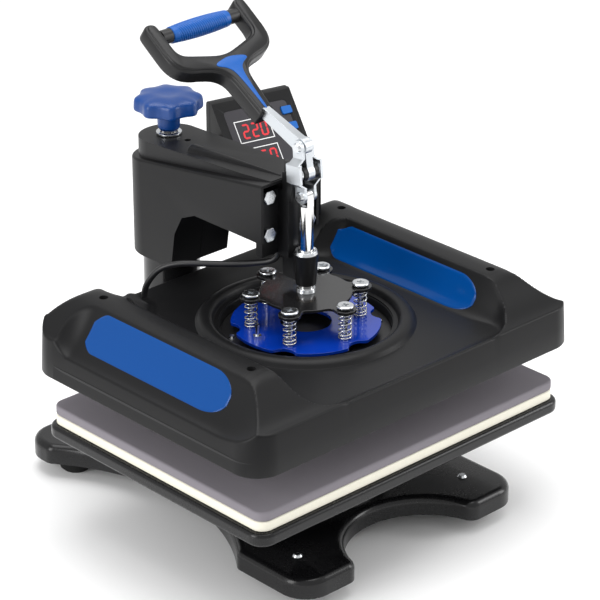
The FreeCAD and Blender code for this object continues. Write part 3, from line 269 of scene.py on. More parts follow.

# %% [markdown]
# ## Materials
# One function makes every finish here from the same few values: colour, gloss, grain, and lighter
# edges that are partly wear and partly painted sheen. Metals only turn Metallic up and have no lighter edges,
# and lacquered parts get a clear coat.

# %% Material function
def finish_of(name, colour, rough, spread=0.08, grain=1500, bump=0.1, metallic=0.0, coat=0.0, wear_sheen=0.0,
              specular=0.5, distance=0.0002):
    """Colour, roughness and its spread, grain per metre and its relief, then the special effects."""
    material = bpy.data.materials.new(name)
    material.use_nodes = True
    tree = material.node_tree
    shader = tree.nodes["Principled BSDF"]
    place = put(tree, "ShaderNodeTexCoord")
    texture = put(tree, "ShaderNodeGroup", node_tree=grain_group)
    relief = put(tree, "ShaderNodeBump", {"Strength": bump, "Distance": distance,
                                          "Height": texture.outputs["Height"]})
    edges = put(tree, "ShaderNodeGroup", node_tree=wear_sheen_group)
    tree.links.new(place.outputs["Object"], texture.inputs["Vector"])
    tree.links.new(texture.outputs["Roughness"], shader.inputs["Roughness"])
    tree.links.new(relief.outputs["Normal"], shader.inputs["Normal"])
    tree.links.new(edges.outputs["Colour"], shader.inputs["Base Color"])
    # Colour of the lighter edges: partly wear, partly a painted sheen in place of edge highlights.
    paler = [min(1, c * 2.2 + 0.02) for c in colour]
    for node, label, value in ((texture, "Scale", grain), (texture, "Base", rough),
                               (texture, "Spread", spread), (edges, "Amount", wear_sheen),
                               (edges, "Colour", (*colour, 1)), (edges, "Wear and sheen colour", (*paler, 1)),
                               (shader, "Metallic", metallic), (shader, "Coat Weight", coat),
                               (shader, "Coat Roughness", 0.06), (shader, "Specular IOR Level", specular)):
        node.inputs[label].default_value = value
    return material


# %% Finishes
moulded_black = finish_of("moulded_black", (0.0055, 0.0055, 0.006), 0.4, 0.12, 1700, 0.22, wear_sheen=0.5,
                          specular=0.19)
handle_black = finish_of("handle_black", (0.007, 0.007, 0.0075), 0.34, 0.1, 1400, 0.1, wear_sheen=0.5,
                         specular=0.32)
cast_black = finish_of("cast_black", (0.004, 0.004, 0.0045), 0.26, 0.2, 700, 0.25, coat=0.12, wear_sheen=0.4,
                       specular=0.3)
gloss_black = finish_of("gloss_black", (0.005, 0.005, 0.0055), 0.16, 0.06, 500, 0.05, coat=0.3,
                        specular=0.35)
satin_black = finish_of("satin_black", (0.005, 0.005, 0.0055), 0.32, 0.15, 900, 0.15, wear_sheen=0.4,
                        specular=0.3)
plate_black = finish_of("plate_black", (0.006, 0.006, 0.0065), 0.22, 0.2, 1100, 0.2, coat=0.3, wear_sheen=0.2)
zinc = finish_of("zinc", (0.66, 0.68, 0.7), 0.24, 0.25, 600, 0.12, metallic=1.0)
stamped_zinc = finish_of("stamped_zinc", (0.62, 0.65, 0.68), 0.34, 0.25, 500, 0.15, metallic=1.0)
chrome = finish_of("chrome", (0.78, 0.78, 0.78), 0.07, 0.05, 900, 0.02, metallic=1.0)
spring_wire = finish_of("spring_wire", (0.62, 0.63, 0.64), 0.2, 0.15, 900, 0.05, metallic=1.0)
window_blue = finish_of("window_blue", (0.0002, 0.05, 0.22), 0.16, 0.04, 300, 0.02, coat=0.1, specular=0.2)
plate_blue = finish_of("plate_blue", (0.001, 0.032, 0.33), 0.14, 0.06, 500, 0.04, coat=0.35, specular=0.35)
knob_blue = finish_of("knob_blue", (0.002, 0.042, 0.2), 0.3, 0.1, 1300, 0.08, wear_sheen=0.5, specular=0.4)
grip_blue = finish_of("grip_blue", (0.002, 0.085, 0.36), 0.36, 0.1, 1500, 0.12, wear_sheen=0.2, specular=0.35)
button_blue = finish_of("button_blue", (0.005, 0.11, 0.42), 0.42, 0.1, 1800, 0.1, specular=0.35)
cream_silicone = finish_of("cream_silicone", (0.78, 0.75, 0.64), 0.5, 0.1, 1600, 0.12)
foot_rubber = finish_of("foot_rubber", (0.01, 0.01, 0.01), 0.7, 0.1, 1500, 0.3, specular=0.2)
lead_black = finish_of("lead_black", (0.01, 0.01, 0.011), 0.4, 0.15, 2500, 0.3)
panel_grey = finish_of("panel_grey", (0.04, 0.038, 0.044), 0.4, 0.06, 2600, 0.1, specular=0.3)
bearing_tan = finish_of("bearing_tan", (0.55, 0.5, 0.38), 0.45, 0.1, 1500, 0.1)
bronze = finish_of("bronze", (0.55, 0.38, 0.2), 0.35, 0.2, 1500, 0.15, metallic=1.0)
heater_aluminium = finish_of("heater_aluminium", (0.55, 0.55, 0.54), 0.4, 0.25, 400, 0.2, metallic=1.0)
board_green = finish_of("board_green", (0.01, 0.12, 0.04), 0.4, 0.1, 1500, 0.1)
bright_steel = finish_of("bright_steel", (0.6, 0.6, 0.6), 0.28, 0.2, 700, 0.1, metallic=1.0)
print(len(bpy.data.materials), "materials so far")

# %% [markdown]
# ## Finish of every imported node
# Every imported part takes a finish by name, also one that a more detailed piece replaces later, so
# no part stays plain.

# %% Finishes by node
by_finish = {
    moulded_black: ("left_arm_cover", "right_arm_cover", "deck_cover", "control_box_front",
                    "control_box_back", "upper_cover"),
    cast_black: ("base_casting", "pedestal", "lower_platen"),
    gloss_black: ("column",),
    satin_black: ("arm_core", "toggle_bracket", "control_box_stay", "well_sheet", "power_inlet",
                  "power_rocker"),
    plate_black: ("star_plate",),
    handle_black: ("handle_frame", "grip_collars"),
    zinc: ("foot_screws", "platen_bolts", "column_bolts", "arm_cover_screws", "bracket_bolts", "guide_ring",
           "pivot_pin", "knob_washer", "link_rivets", "plunger_collar", "plunger_nut", "shoulder_bolts",
           "well_fasteners", "cover_screws"),
    stamped_zinc: ("lever_bar", "link_plate_left", "link_plate_right"),
    chrome: ("plunger_rod", "grip_rod"),
    bright_steel: ("column_cap", "knob_spindle"),
    spring_wire: ("pressure_springs",),
    window_blue: ("cover_windows",),
    plate_blue: ("float_plate",),
    knob_blue: ("height_knob",),
    grip_blue: ("grip_sleeve", "handle_inlay"),
    button_blue: ("set_button", "up_button", "down_button", "start_button"),
    cream_silicone: ("silicone_pad", "sponge_pad"),
    foot_rubber: ("rubber_feet",),
    lead_black: ("heater_lead",),
    panel_grey: ("display_panel",),
    bearing_tan: ("swing_bush", "thrust_disc"),
    bronze: ("guide_bush",),
    heater_aluminium: ("heating_plate",),
    board_green: ("control_board",),
}
finished = {}
for material, names in by_finish.items():
    for name in names:
        finished[name] = material
        nodes[name].data.materials.clear()
        nodes[name].data.materials.append(material)
print("nodes without a finish:", sorted(set(nodes) - set(finished)))

# %% [markdown]
# ## Heater lead
# The heater is fed through a short black lead that leaves the toggle bracket, hangs in a shallow
# curve beside the arm and drops into the rear of the upper cover. It is one smooth spline through
# the route.

# %% Lead
LEAD_DIAMETER = 6 * MM
LEAD_ROUTE = [(-6, 30, 263.9), (-6, 30, 252.5), (-21, 53.5, 246.5), (-35, 71, 244.3), (-50, 90.6, 243.3),
              (-63, 108.5, 241.5), (-73, 123, 235), (-79.6, 132.5, 219.5), (-81, 136, 208.5),
              (-81, 136, 203.05)]
lead_curve = bpy.data.curves.new("heater_lead_line", "CURVE")
lead_curve.dimensions = "3D"
lead_curve.resolution_u = 12
spline = lead_curve.splines.new("NURBS")
spline.points.add(len(LEAD_ROUTE) - 1)
for point, (x, y, z) in zip(spline.points, LEAD_ROUTE):
    point.co = (x * MM, y * MM + platen_y, z * MM, 1)
spline.order_u = 3
spline.use_endpoint_u = True
line_object = linked("heater_lead_line", lead_curve)
bpy.context.view_layer.update()
line_mesh = bpy.data.meshes.new_from_object(line_object)
lead_curve.bevel_depth = LEAD_DIAMETER / 2
lead_curve.bevel_resolution = 5
lead_curve.use_fill_caps = True
lead_mesh = bpy.data.meshes.new_from_object(line_object)
bpy.data.objects.remove(line_object)
smooth(lead_mesh)
lead_mesh.materials.clear()
lead_mesh.materials.append(lead_black)
lead = linked("heater_lead_flex", lead_mesh)
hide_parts("heater_lead")
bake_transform(lead)

# %% [markdown]
# ## Upper cover
# The cover is one big moulding: a tray with a flat deck, a round well in the middle and a long rail
# on each side. Every rail is hollowed on both flanks by a scoop that runs out at its front end. Such
# a skin is easiest as a height over a grid: an outer skin, cut by the scoops and by the basin
# between the rails. A soft minimum of the two leaves the fine moulded crest where they meet.

# %% Cover sizes
cover_low, cover_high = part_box("upper_cover")
HALF_LONG = (cover_high.x - cover_low.x) / 2 / MM
HALF_DEEP = (cover_high.y - cover_low.y) / 2 / MM
COVER_FOOT = 165.2
DRAFT = 2.2
COVER_CORNER = 26.0
DECK = 200.0
LIP = 203.5
RAIL_TOP = 236.0
RAIL = 151.5
WELL_RADIUS = 80.0
RIM_TOP = 206.3
FRONT_CORNER = 30.0
DECK_HALF = 90.0
INNER_FALL, OUTER_FALL = 0.0105, 0.0636
SHELL = 2.6
SCREW_HOLE = 4.3


def soft_min(a, b, radius):
    h = np.clip(0.5 + 0.5 * (b - a) / radius, 0, 1)
    return b * (1 - h) + a * h - radius * h * (1 - h)


def soft_max(a, b, radius):
    return -soft_min(-a, -b, radius)


def ease(t):
    t = np.clip(t, 0, 1)
    return t * t * (3 - 2 * t)


# %% Cover skin
def rail_height(y):
    """Height of a rail along the machine: level, with a front slope and a rounded back."""
    front = LIP + 1.2 + (RAIL_TOP - LIP) * ease((y + 153) / 60) + 0.6 * np.clip(y + 100, 0, None)
    back = RAIL_TOP - 26 * np.clip((y - 112) / 40, 0, None) ** 3
    return soft_min(soft_min(np.full_like(y, RAIL_TOP), front, 7), back, 3)


def outer_skin(x, y):
    """The cover without its hollows: a wing over each rail, falling away to both sides, and the lip."""
    side = np.abs(x) - RAIL
    inner_fall = INNER_FALL * (1 + 1.3 * ease((y - 92) / 34))
    fall = np.where(side < 0, inner_fall * side ** 2, OUTER_FALL * np.abs(side) ** 1.6)
    hump = RAIL_TOP + 0.6 - fall
    wing = soft_min(rail_height(y), hump, 4)
    wing = np.where(np.abs(x) > DECK_HALF, wing, LIP)
    return soft_max(np.full_like(x, LIP), wing, 3)


def basin(x, y):
    """Deck and inner scoops: flat in the middle, curling up to the rails and at both ends."""
    turn_in = np.clip(-y - (150 - FRONT_CORNER), 0, FRONT_CORNER - 0.1)
    crest = 139.0 - 27 * ease((y - 84) / 44) - FRONT_CORNER + np.sqrt(FRONT_CORNER ** 2 - turn_in ** 2)
    reach = 28 - 8 * ease((-92 - y) / 46) + 7 * ease((y - 84) / 40)
    rise = 35 * np.clip((np.abs(x) - crest + reach) / reach, 0, 2) ** 1.7
    front = 3.6 * np.clip((-139 - y) / 10, 0, 3) ** 2
    return DECK + rise + front + 1.2 * ease((y - 120) / 30)


def outer_scoop(x, y):
    """The hollow on a wing's outer flank, closed towards the front and the back."""
    across = np.clip((np.abs(x) - 165) / 36.5, -0.3, 1)
    body = 193 + 41 * np.clip(1 - across, 0, 2) ** 1.55
    front = np.clip(-98 - y, 0, None) ** 2 / 200
    back = np.clip(y - 100, 0, None) ** 2 / 32
    return body + front + back


def cover_height(x, y):
    skin = outer_skin(x, y)
    cut = np.where(np.abs(x) < RAIL, basin(x, y), outer_scoop(x, y))
    return soft_min(skin, cut, 1.5)


print("rail crest", round(float(rail_height(np.array(0.0))), 1), "mm")

# %% Cover grid
def squared(u, v, half_x, half_y, corner):
    """Lay a square grid over a rounded rectangle: only the corners' surroundings are pulled in."""
    x = u * half_x
    y = v * half_y
    over_x = np.clip((np.abs(x) - (half_x - corner)) / corner, 0, 1)
    over_y = np.clip((np.abs(y) - (half_y - corner)) / corner, 0, 1)
    pull = 1 - np.maximum(over_x, over_y) / np.maximum(np.hypot(over_x, over_y), 1e-6)
    pull = np.where((over_x > 0) & (over_y > 0), pull, 0)
    return (x - np.sign(x) * corner * over_x * pull, y - np.sign(y) * corner * over_y * pull)


COLUMNS, ROWS = 236, 180
EDGE_ROUND = 2.4
us, vs = np.linspace(-1, 1, COLUMNS + 1), np.linspace(-1, 1, ROWS + 1)
grid_u, grid_v = np.meshgrid(us, vs)
GRID_LONG, GRID_DEEP = HALF_LONG - DRAFT - EDGE_ROUND, HALF_DEEP - DRAFT - EDGE_ROUND
GRID_CORNER = COVER_CORNER - EDGE_ROUND
top_x, top_y = squared(grid_u, grid_v, GRID_LONG, GRID_DEEP, GRID_CORNER)
top_z = cover_height(top_x, top_y)
verts = [(x, y, z) for x, y, z in zip(top_x.ravel(), top_y.ravel(), top_z.ravel())]
wide = COLUMNS + 1
faces = [(r * wide + c, r * wide + c + 1, (r + 1) * wide + c + 1, (r + 1) * wide + c)
         for r in range(ROWS) for c in range(COLUMNS)]
border = ([(0, c) for c in range(COLUMNS)] + [(r, COLUMNS) for r in range(ROWS)]
          + [(ROWS, c) for c in range(COLUMNS, 0, -1)] + [(r, 0) for r in range(ROWS, 0, -1)])
ring = [r * wide + c for r, c in border]
edge_u = np.array([us[c] for r, c in border])
edge_v = np.array([vs[r] for r, c in border])
edge_z = np.array([top_z[r, c] for r, c in border])


def wall_ring(out, height):
    """One ring of the side wall: out is how far it lies outside the top grid."""
    x, y = squared(edge_u, edge_v, GRID_LONG + out, GRID_DEEP + out, GRID_CORNER + out)
    start = len(verts)
    verts.extend(zip(x, y, height * np.ones(len(x))))
    return list(range(start, start + len(x)))


def bridge(first, second):
    after, under = first[1:] + first[:1], second[1:] + second[:1]
    faces.extend(zip(first, after, under, second))


rings = [ring]
for turn in (30, 60, 90):
    angle = math.radians(turn)
    rings.append(wall_ring(EDGE_ROUND * math.sin(angle), edge_z - EDGE_ROUND * (1 - math.cos(angle))))
rings.append(wall_ring(EDGE_ROUND + DRAFT * 0.5, (edge_z + COVER_FOOT) / 2))
rings.append(wall_ring(EDGE_ROUND + DRAFT - 0.1, COVER_FOOT + 1.2))
rings.append(wall_ring(EDGE_ROUND + DRAFT - 0.7, COVER_FOOT + 0.1))
rings.append(wall_ring(EDGE_ROUND + DRAFT - 3.2, COVER_FOOT + 0.1))
rings.append(wall_ring(EDGE_ROUND + DRAFT - 3.4, COVER_FOOT + 14))
for first, second in zip(rings, rings[1:]):
    bridge(first, second)
placed = [(x * MM, y * MM + platen_y, z * MM) for x, y, z in verts]
cover = new_piece("upper_cover_moulding", placed, faces, moulded_black)
print(f"cover skin {len(faces)} faces")

# %% [markdown]
# The well, the four screw holes and the thickness come last. Cutting a cylinder from the skin gives
# a clean round edge, which a grid alone can't, and a short wall then turns down inside the well.

# %% Cover openings
def cylinder_tool(name, radius, low, high, x, y, segments=96):
    mesh = bpy.data.meshes.new(name)
    work = bmesh.new()
    bmesh.ops.create_cone(work, cap_ends=True, segments=segments, radius1=radius * MM, radius2=radius * MM,
                          depth=(high - low) * MM,
                          matrix=Matrix.Translation((x * MM, platen_y + y * MM, (low + high) / 2 * MM)))
    work.to_mesh(mesh)
    work.free()
    return linked(name, mesh)


def carve(piece, tools):
    for tool in tools:
        cutter = piece.modifiers.new("carve", "BOOLEAN")
        cutter.operation = "DIFFERENCE"
        cutter.object = tool
        cutter.solver = "EXACT"
    plain_mesh(piece)
    for tool in tools:
        bpy.data.objects.remove(tool)


shell = cover.modifiers.new("wall", "SOLIDIFY")
shell.thickness = SHELL * MM
shell.offset = -1
shell.use_even_offset = False
plain_mesh(cover)
SCREW_SPOTS = [(side * RAIL, y) for side in (-1, 1) for y in (109, -91)]
carve(cover, [cylinder_tool("well_tool", WELL_RADIUS + 1.5, 150, 260, 0, 0, 160)]
      + [cylinder_tool("hole_tool", SCREW_HOLE, 150, 260, x, y, 32) for x, y in SCREW_SPOTS])
smooth(cover.data, math.radians(32))
stand_for(cover, "platen", "upper_cover")
print(f"cover {len(cover.data.polygons)} faces after carving")


# %% Turned parts of the cover
def turned(name, profile, material, x=0.0, y=0.0, segments=96):
    """A closed ring turned about an upright axis from (radius, height) pairs in millimetres."""
    angles = [2 * math.pi * n / segments for n in range(segments)]
    points = [((x + radius * math.cos(angle)) * MM, (y + radius * math.sin(angle)) * MM + platen_y,
               height * MM) for radius, height in profile for angle in angles]
    return new_piece(name, points, ring_faces(len(profile), segments, closed=True, capped=False), material)


WELL_PROFILE = [(0, 189), (0, 197), (0.8, 198.4), (4.2, 199.2), (5.6, 200.2), (6.6, 203.4), (8.2, 205.4),
                (11, RIM_TOP), (15, RIM_TOP - 0.1), (18.5, 205), (20.8, 202.9), (22.3, 200.7),
                (23.6, 199.6), (20, 198.4), (8, 197.4), (3, 196.4), (2.5, 189)]
well_ring = [(WELL_RADIUS + out, height) for out, height in WELL_PROFILE]
stand_for(turned("well_wall", well_ring, moulded_black, segments=192), "platen")
SCREW_SLEEVE = [(4.25, 193), (4.25, 233.8), (5.6, 233.6), (5.6, 193)]
for n, (x, y) in enumerate(SCREW_SPOTS):
    stand_for(turned(f"screw_well_{n}", SCREW_SLEEVE, moulded_black, x, y, 32), "platen")
print("well wall and screw wells made")

# %% [markdown]
# ## Blue windows
# A glossy blue insert lies in each scoop, flush to within a millimetre. It follows the cover's
# own height function, so it can't float or sink: its outline is laid out flat, rounded in front and
# bevelled at the back, and each point is then lifted on to the scoop.

# %% Windows
WINDOW = {"outer": (167.0, 190.5, -92, 97), "inner": (114.5, 136.0, -96, 92)}


def window_outline(s, t):
    """From a unit square to a strip with a round front end and two cut rear corners."""
    along = (t + 1) / 2
    front = np.clip((0.15 - along) / 0.15, 0, 1)
    back = np.clip((along - 0.92) / 0.08, 0, 1)
    width = np.sqrt(1 - 0.96 * front ** 2) * (1 - 0.5 * back ** 1.8)
    return s * width, t


def window_patch(name, side, kind):
    near, far, front, back = WINDOW[kind]
    cross, length = 28, 120
    s, t = np.meshgrid(np.linspace(-1, 1, cross + 1), np.sin(np.linspace(-1, 1, length + 1) * math.pi / 2))
    s, t = window_outline(s, t)
    across = (near + far) / 2 + s * (far - near) / 2
    along = (front + back) / 2 + t * (back - front) / 2
    base = cover_height(across, along)
    step = 0.5
    slope = (cover_height(across + step, along) - cover_height(across - step, along)) / (2 * step)
    length_n = np.sqrt(1 + slope ** 2)
    out = np.stack([-slope / length_n, np.zeros_like(slope), 1 / length_n], -1)
    skin = np.stack([across, along, base], -1)
    edge = np.minimum(1 - np.abs(s) / np.maximum(np.abs(s).max(axis=1, keepdims=True), 1e-6),
                      (1 - np.abs(t)) * 4)
    proud = 0.65 * np.clip(edge * 9, 0, 1) ** 0.5
    top = skin + out * proud[..., None]
    under = skin - out * 1.2
    wide_w = cross + 1
    total = top.shape[0] * wide_w
    points = np.concatenate([top.reshape(-1, 3), under.reshape(-1, 3)])
    points = [(side * x * MM, y * MM + platen_y, z * MM) for x, y, z in points]
    quads = []
    for r in range(length):
        for c in range(cross):
            a = r * wide_w + c
            quads.append((a, a + 1, a + wide_w + 1, a + wide_w))
            quads.append((total + a, total + a + wide_w, total + a + wide_w + 1, total + a + 1))
    loop = ([c for c in range(wide_w)] + [r * wide_w + cross for r in range(1, length + 1)]
            + [length * wide_w + c for c in range(cross - 1, -1, -1)]
            + [r * wide_w for r in range(length - 1, 0, -1)])
    quads += [(a, total + a, total + b, b) for a, b in zip(loop, loop[1:] + loop[:1])]
    return new_piece(name, points, quads, window_blue)


for side, hand in ((-1, "left"), (1, "right")):
    for kind in WINDOW:
        pane = window_patch(f"{hand}_{kind}_window", side, kind)
        stand_for(pane, "platen", "cover_windows")
print("four windows follow the scoops")

# %% [markdown]
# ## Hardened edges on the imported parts
# Castings, pressings and mouldings never have razor edges. A small bevel on a merged copy of the
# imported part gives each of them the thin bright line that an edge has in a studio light.

# %% Broken edges
BEVELS = {"left_arm_cover": 1.0, "right_arm_cover": 1.0, "control_box_front": 0.8, "control_box_back": 0.8,
          "toggle_bracket": 0.6, "lever_bar": 0.8, "link_plate_left": 0.5, "link_plate_right": 0.5,
          "star_plate": 0.5, "float_plate": 0.5, "guide_ring": 0.4, "plunger_collar": 0.5,
          "bracket_bolts": 0.6, "display_panel": 0.2,
          "set_button": 0.5, "up_button": 0.5, "down_button": 0.5, "start_button": 0.5,
          "pedestal": 1.2, "knob_washer": 0.4, "control_box_stay": 0.6, "column_bolts": 0.5,
          "power_inlet": 0.4, "power_rocker": 0.4}
for name, width in BEVELS.items():
    soften(name, width * MM, finished[name])
print(len(BEVELS), "parts softened")

# %% [markdown]
# ## Height knob
# The knob is a soft, eight-lobed cap on a round neck. One polar function gives its outline, and a
# side profile pulls that outline in towards the top, so lobes and dome melt together as moulded
# parts do. The middle of the top is dished a little, and the lobes fade out towards it.

# %% Knob
KNOB_RADIUS = 33.4
LOBES = 8
LOBE_PHASE = math.radians(10)
DENT_DEPTH = 3.6
column_mid = middle("knob_spindle")
knob_y = (column_mid.y - platen_y) / MM


def knob_radius(angle, share):
    wave = 0.5 + 0.5 * math.cos(LOBES * (angle - LOBE_PHASE))
    dent = DENT_DEPTH * (1 - wave ** 1.4)
    return (KNOB_RADIUS - dent) * share


# Each row: radius in millimetres or, under 2, as a share of the outline; height; how far it is lobed
KNOB_PROFILE = [(10.9, 334.3, 0), (10.9, 343, 0), (11.1, 352, 0), (13, 354.9, 0), (18, 355.8, 0.2),
                (0.93, 356.1, 1), (0.975, 356.6, 1), (0.998, 357.8, 1), (1.0, 359.5, 1), (0.993, 364.5, 1),
                (0.982, 367.2, 1), (0.955, 368.9, 1), (0.90, 370.1, 1), (0.8, 371.2, 1), (0.66, 372.2, 0.9),
                (0.5, 372.8, 0.6), (0.36, 372.7, 0.3), (0.26, 372.3, 0.1), (0.16, 371.9, 0), (0.03, 371.8, 0)]
around = 160
knob_points = []
for share, height, lobed in KNOB_PROFILE:
    for n in range(around):
        angle = 2 * math.pi * n / around
        if share > 2:
            radius = share
        else:
            radius = knob_radius(angle, share) * lobed + KNOB_RADIUS * share * (1 - lobed)
        x, y = radius * math.cos(angle), knob_y + radius * math.sin(angle)
        knob_points.append((x * MM, y * MM + platen_y, height * MM))
knob = new_piece("height_knob_moulding", knob_points, ring_faces(len(KNOB_PROFILE), around), knob_blue)
rounding = knob.modifiers.new("soft", "SUBSURF")
rounding.levels = rounding.render_levels = 1
plain_mesh(knob)
smooth(knob.data, math.radians(50))
stand_for(knob, "knob", "height_knob")
print(f"knob with {LOBES} lobes, {len(knob.data.polygons)} faces")

# %% [markdown]
# ## Handle
# The handle is a fork: a stem that splits into two arms, each ending in a rounded lug that holds the
# grip. Its outline is a short list of points, smoothed to a flowing curve, and the body is built
# from that outline in rings, each a little further in: the flank, a rounded shoulder, a narrow
# shelf and then the raised face, which gives the two bright lines along each arm.

# %% Outline helpers
PIVOT_UP = 348.5
TILT = math.radians(55)
handle_matrix = Matrix.Translation((0, platen_y, PIVOT_UP * MM)) @ Matrix.Rotation(-TILT, 4, "X")


def from_handle(x, thick, along):
    """A point given across, through and along the handle, in millimetres, in machine space."""
    return handle_matrix @ Vector((x * MM, thick * MM, along * MM))


def flowing(points, step=1.2, rounds=3):
    """Cut a closed polygon's corners a few times, then space its points evenly."""
    line = [np.array(p, float) for p in points]
    for _ in range(rounds):
        pairs = zip(line, line[1:] + line[:1])
        line = [q for a, b in pairs for q in (a * 0.75 + b * 0.25, a * 0.25 + b * 0.75)]
    line = np.array(line + [line[0]])
    gaps = np.linalg.norm(np.diff(line, axis=0), axis=1)
    reach = np.concatenate([[0], np.cumsum(gaps)])
    marks = np.linspace(0, reach[-1], int(reach[-1] / step), endpoint=False)
    return np.stack([np.interp(marks, reach, line[:, k]) for k in (0, 1)], -1)


def inward(outline, distance):
    """Move a closed outline in along its own normals."""
    ahead = np.roll(outline, -2, axis=0) - np.roll(outline, 2, axis=0)
    normal = np.stack([-ahead[:, 1], ahead[:, 0]], -1) / np.linalg.norm(ahead, axis=1, keepdims=True)
    area = np.sum(outline[:, 0] * np.roll(outline[:, 1], -1) - np.roll(outline[:, 0], -1) * outline[:, 1])
    return outline + normal * distance * (1 if area > 0 else -1)


def ringed_slab(name, outline, profile, material, lift, angle=SHARP):
    """A solid with a closed outline and a rounded edge; profile is (inset, height) from low to high."""
    points = [tuple(lift(x, height, u)) for inset, height in profile for x, u in inward(outline, inset)]
    return new_piece(name, points, ring_faces(len(profile), len(outline)), material, angle)


# %% Handle fork
REACH = 177.0
HALF_OUTLINE = [(8.6, 66), (8.8, 67), (10.4, 92), (11.4, 108), (13.5, 115), (20, 121.5), (32, 125.5),
                (44, 128), (53, 132.5), (58.5, 139.5), (61.5, 149), (61.5, 165), (61.5, REACH + 7),
                (60.3, REACH + 11), (57, REACH + 13.4), (51, REACH + 13.4), (47.7, REACH + 11),
                (46.5, REACH + 7), (46.5, 168), (46.5, 157), (44.5, 151.5), (39.5, 148), (26, 144),
                (14, 140.5), (5, 138.4)]
fork = flowing(HALF_OUTLINE + [(-x, u) for x, u in reversed(HALF_OUTLINE)])
HALF_THICK = 9.0
fork_profile = [(2.4, HALF_THICK), (1.2, HALF_THICK - 0.35), (0.35, HALF_THICK - 1.2), (0, HALF_THICK - 2.4),
                (0, -HALF_THICK + 4.2), (0.3, -HALF_THICK + 3.1), (1.0, -HALF_THICK + 2.3),
                (1.9, -HALF_THICK + 2.0), (2.35, -HALF_THICK + 1.7), (2.6, -HALF_THICK + 0.8),
                (3.1, -HALF_THICK + 0.25), (3.9, -HALF_THICK + 0.02)]
handle_body = ringed_slab("handle_fork", fork, fork_profile, handle_black, from_handle, math.radians(40))
stand_for(handle_body, "handle", "handle_frame")
print(f"handle fork {len(handle_body.data.polygons)} faces")

# %% Blue inlay
HALF_INLAY = [(1.4, 70), (1.7, 84), (2.6, 98), (3.7, 110), (5.4, 117), (9.5, 122), (17.5, 125.6),
              (18.5, 127.6), (16.5, 129.6), (9, 131.5), (3, 132.6)]
inlay_line = flowing(HALF_INLAY + [(-x, u) for x, u in reversed(HALF_INLAY)], 0.8, 2)
inlay_profile = [(0, -HALF_THICK + 1.2), (0, -HALF_THICK - 0.25), (0.25, -HALF_THICK - 0.5),
                 (0.7, -HALF_THICK - 0.59)]
inlay = ringed_slab("handle_inlay_moulding", inlay_line, inlay_profile, grip_blue, from_handle)
stand_for(inlay, "handle", "handle_inlay")
print("blue inlay follows the fork")

# %% [markdown]
# ## Grip
# The grip is a soft sleeve that swells in the middle. Its upper side is smooth and its lower side
# carries slanted grooves for the fingers. Both come from one height function over the sleeve, so
# the grooves fade in and out instead of stopping dead.

# %% Grip sleeve
GRIP_HALF = 34.8
GROOVE_PITCH = 2.5
GROOVE_DEPTH = 0.55


def grip_radius(x, angle):
    """Radius of the sleeve; angle runs from the upper side round to the finger side."""
    swell = 7.85 + 1.5 * (1 - (x / GRIP_HALF) ** 2)
    end = min(1.0, (GRIP_HALF - abs(x)) / 1.2)
    swell -= 0.7 * (1 - math.sqrt(max(0.0, 1 - (1 - end) ** 2)))
    fade = min(1.0, max(0.0, (GRIP_HALF - 5 - abs(x)) / 2))
    facing = min(1.0, max(0.0, (math.cos(angle - FINGER_SIDE) - 0.12) / 0.12))
    groove = max(0.0, math.cos(2 * math.pi * (x / GROOVE_PITCH + 1.1 * (angle - FINGER_SIDE))))
    return swell - GROOVE_DEPTH * groove * fade * facing


FINGER_SIDE = math.radians(-105)
GRIP_SIDES, GRIP_STEPS = 96, 280
grip_points = []
for r in range(GRIP_STEPS + 1):
    x = -GRIP_HALF + 2 * GRIP_HALF * r / GRIP_STEPS
    for n in range(GRIP_SIDES):
        angle = 2 * math.pi * n / GRIP_SIDES
        radius = grip_radius(x, math.atan2(math.sin(angle), math.cos(angle)))
        point = from_handle(x, radius * math.sin(angle), REACH + radius * math.cos(angle))
        grip_points.append(tuple(point))
grip = new_piece("grip_sleeve_grooved", grip_points, ring_faces(GRIP_STEPS + 1, GRIP_SIDES), grip_blue)
stand_for(grip, "handle", "grip_sleeve")
print(f"grip {len(grip.data.polygons)} faces")

# %% [markdown]
# ## Pressure springs
# Six open coil springs stand on the float plate. A node tree makes one: a helix curve with flat
# closed ends, swept by a round wire section, then instanced on six points of the bolt circle. Wire
# thickness, coil radius and turns stay named inputs.

# %% Spring tree
def socket_id(tree, label):
    return next(item.identifier for item in tree.interface.items_tree
                if item.item_type == "SOCKET" and item.in_out == "INPUT" and item.name == label)


def node_tree(name, inputs):
    tree = bpy.data.node_groups.new(name, "GeometryNodeTree")
    tree.interface.new_socket("Geometry", in_out="INPUT", socket_type="NodeSocketGeometry")
    for label, kind, value in inputs:
        socket = tree.interface.new_socket(label, in_out="INPUT", socket_type=kind)
        if value is not None:
            socket.default_value = value
    tree.interface.new_socket("Geometry", in_out="OUTPUT", socket_type="NodeSocketGeometry")
    return tree, tree.nodes.new("NodeGroupInput"), tree.nodes.new("NodeGroupOutput")


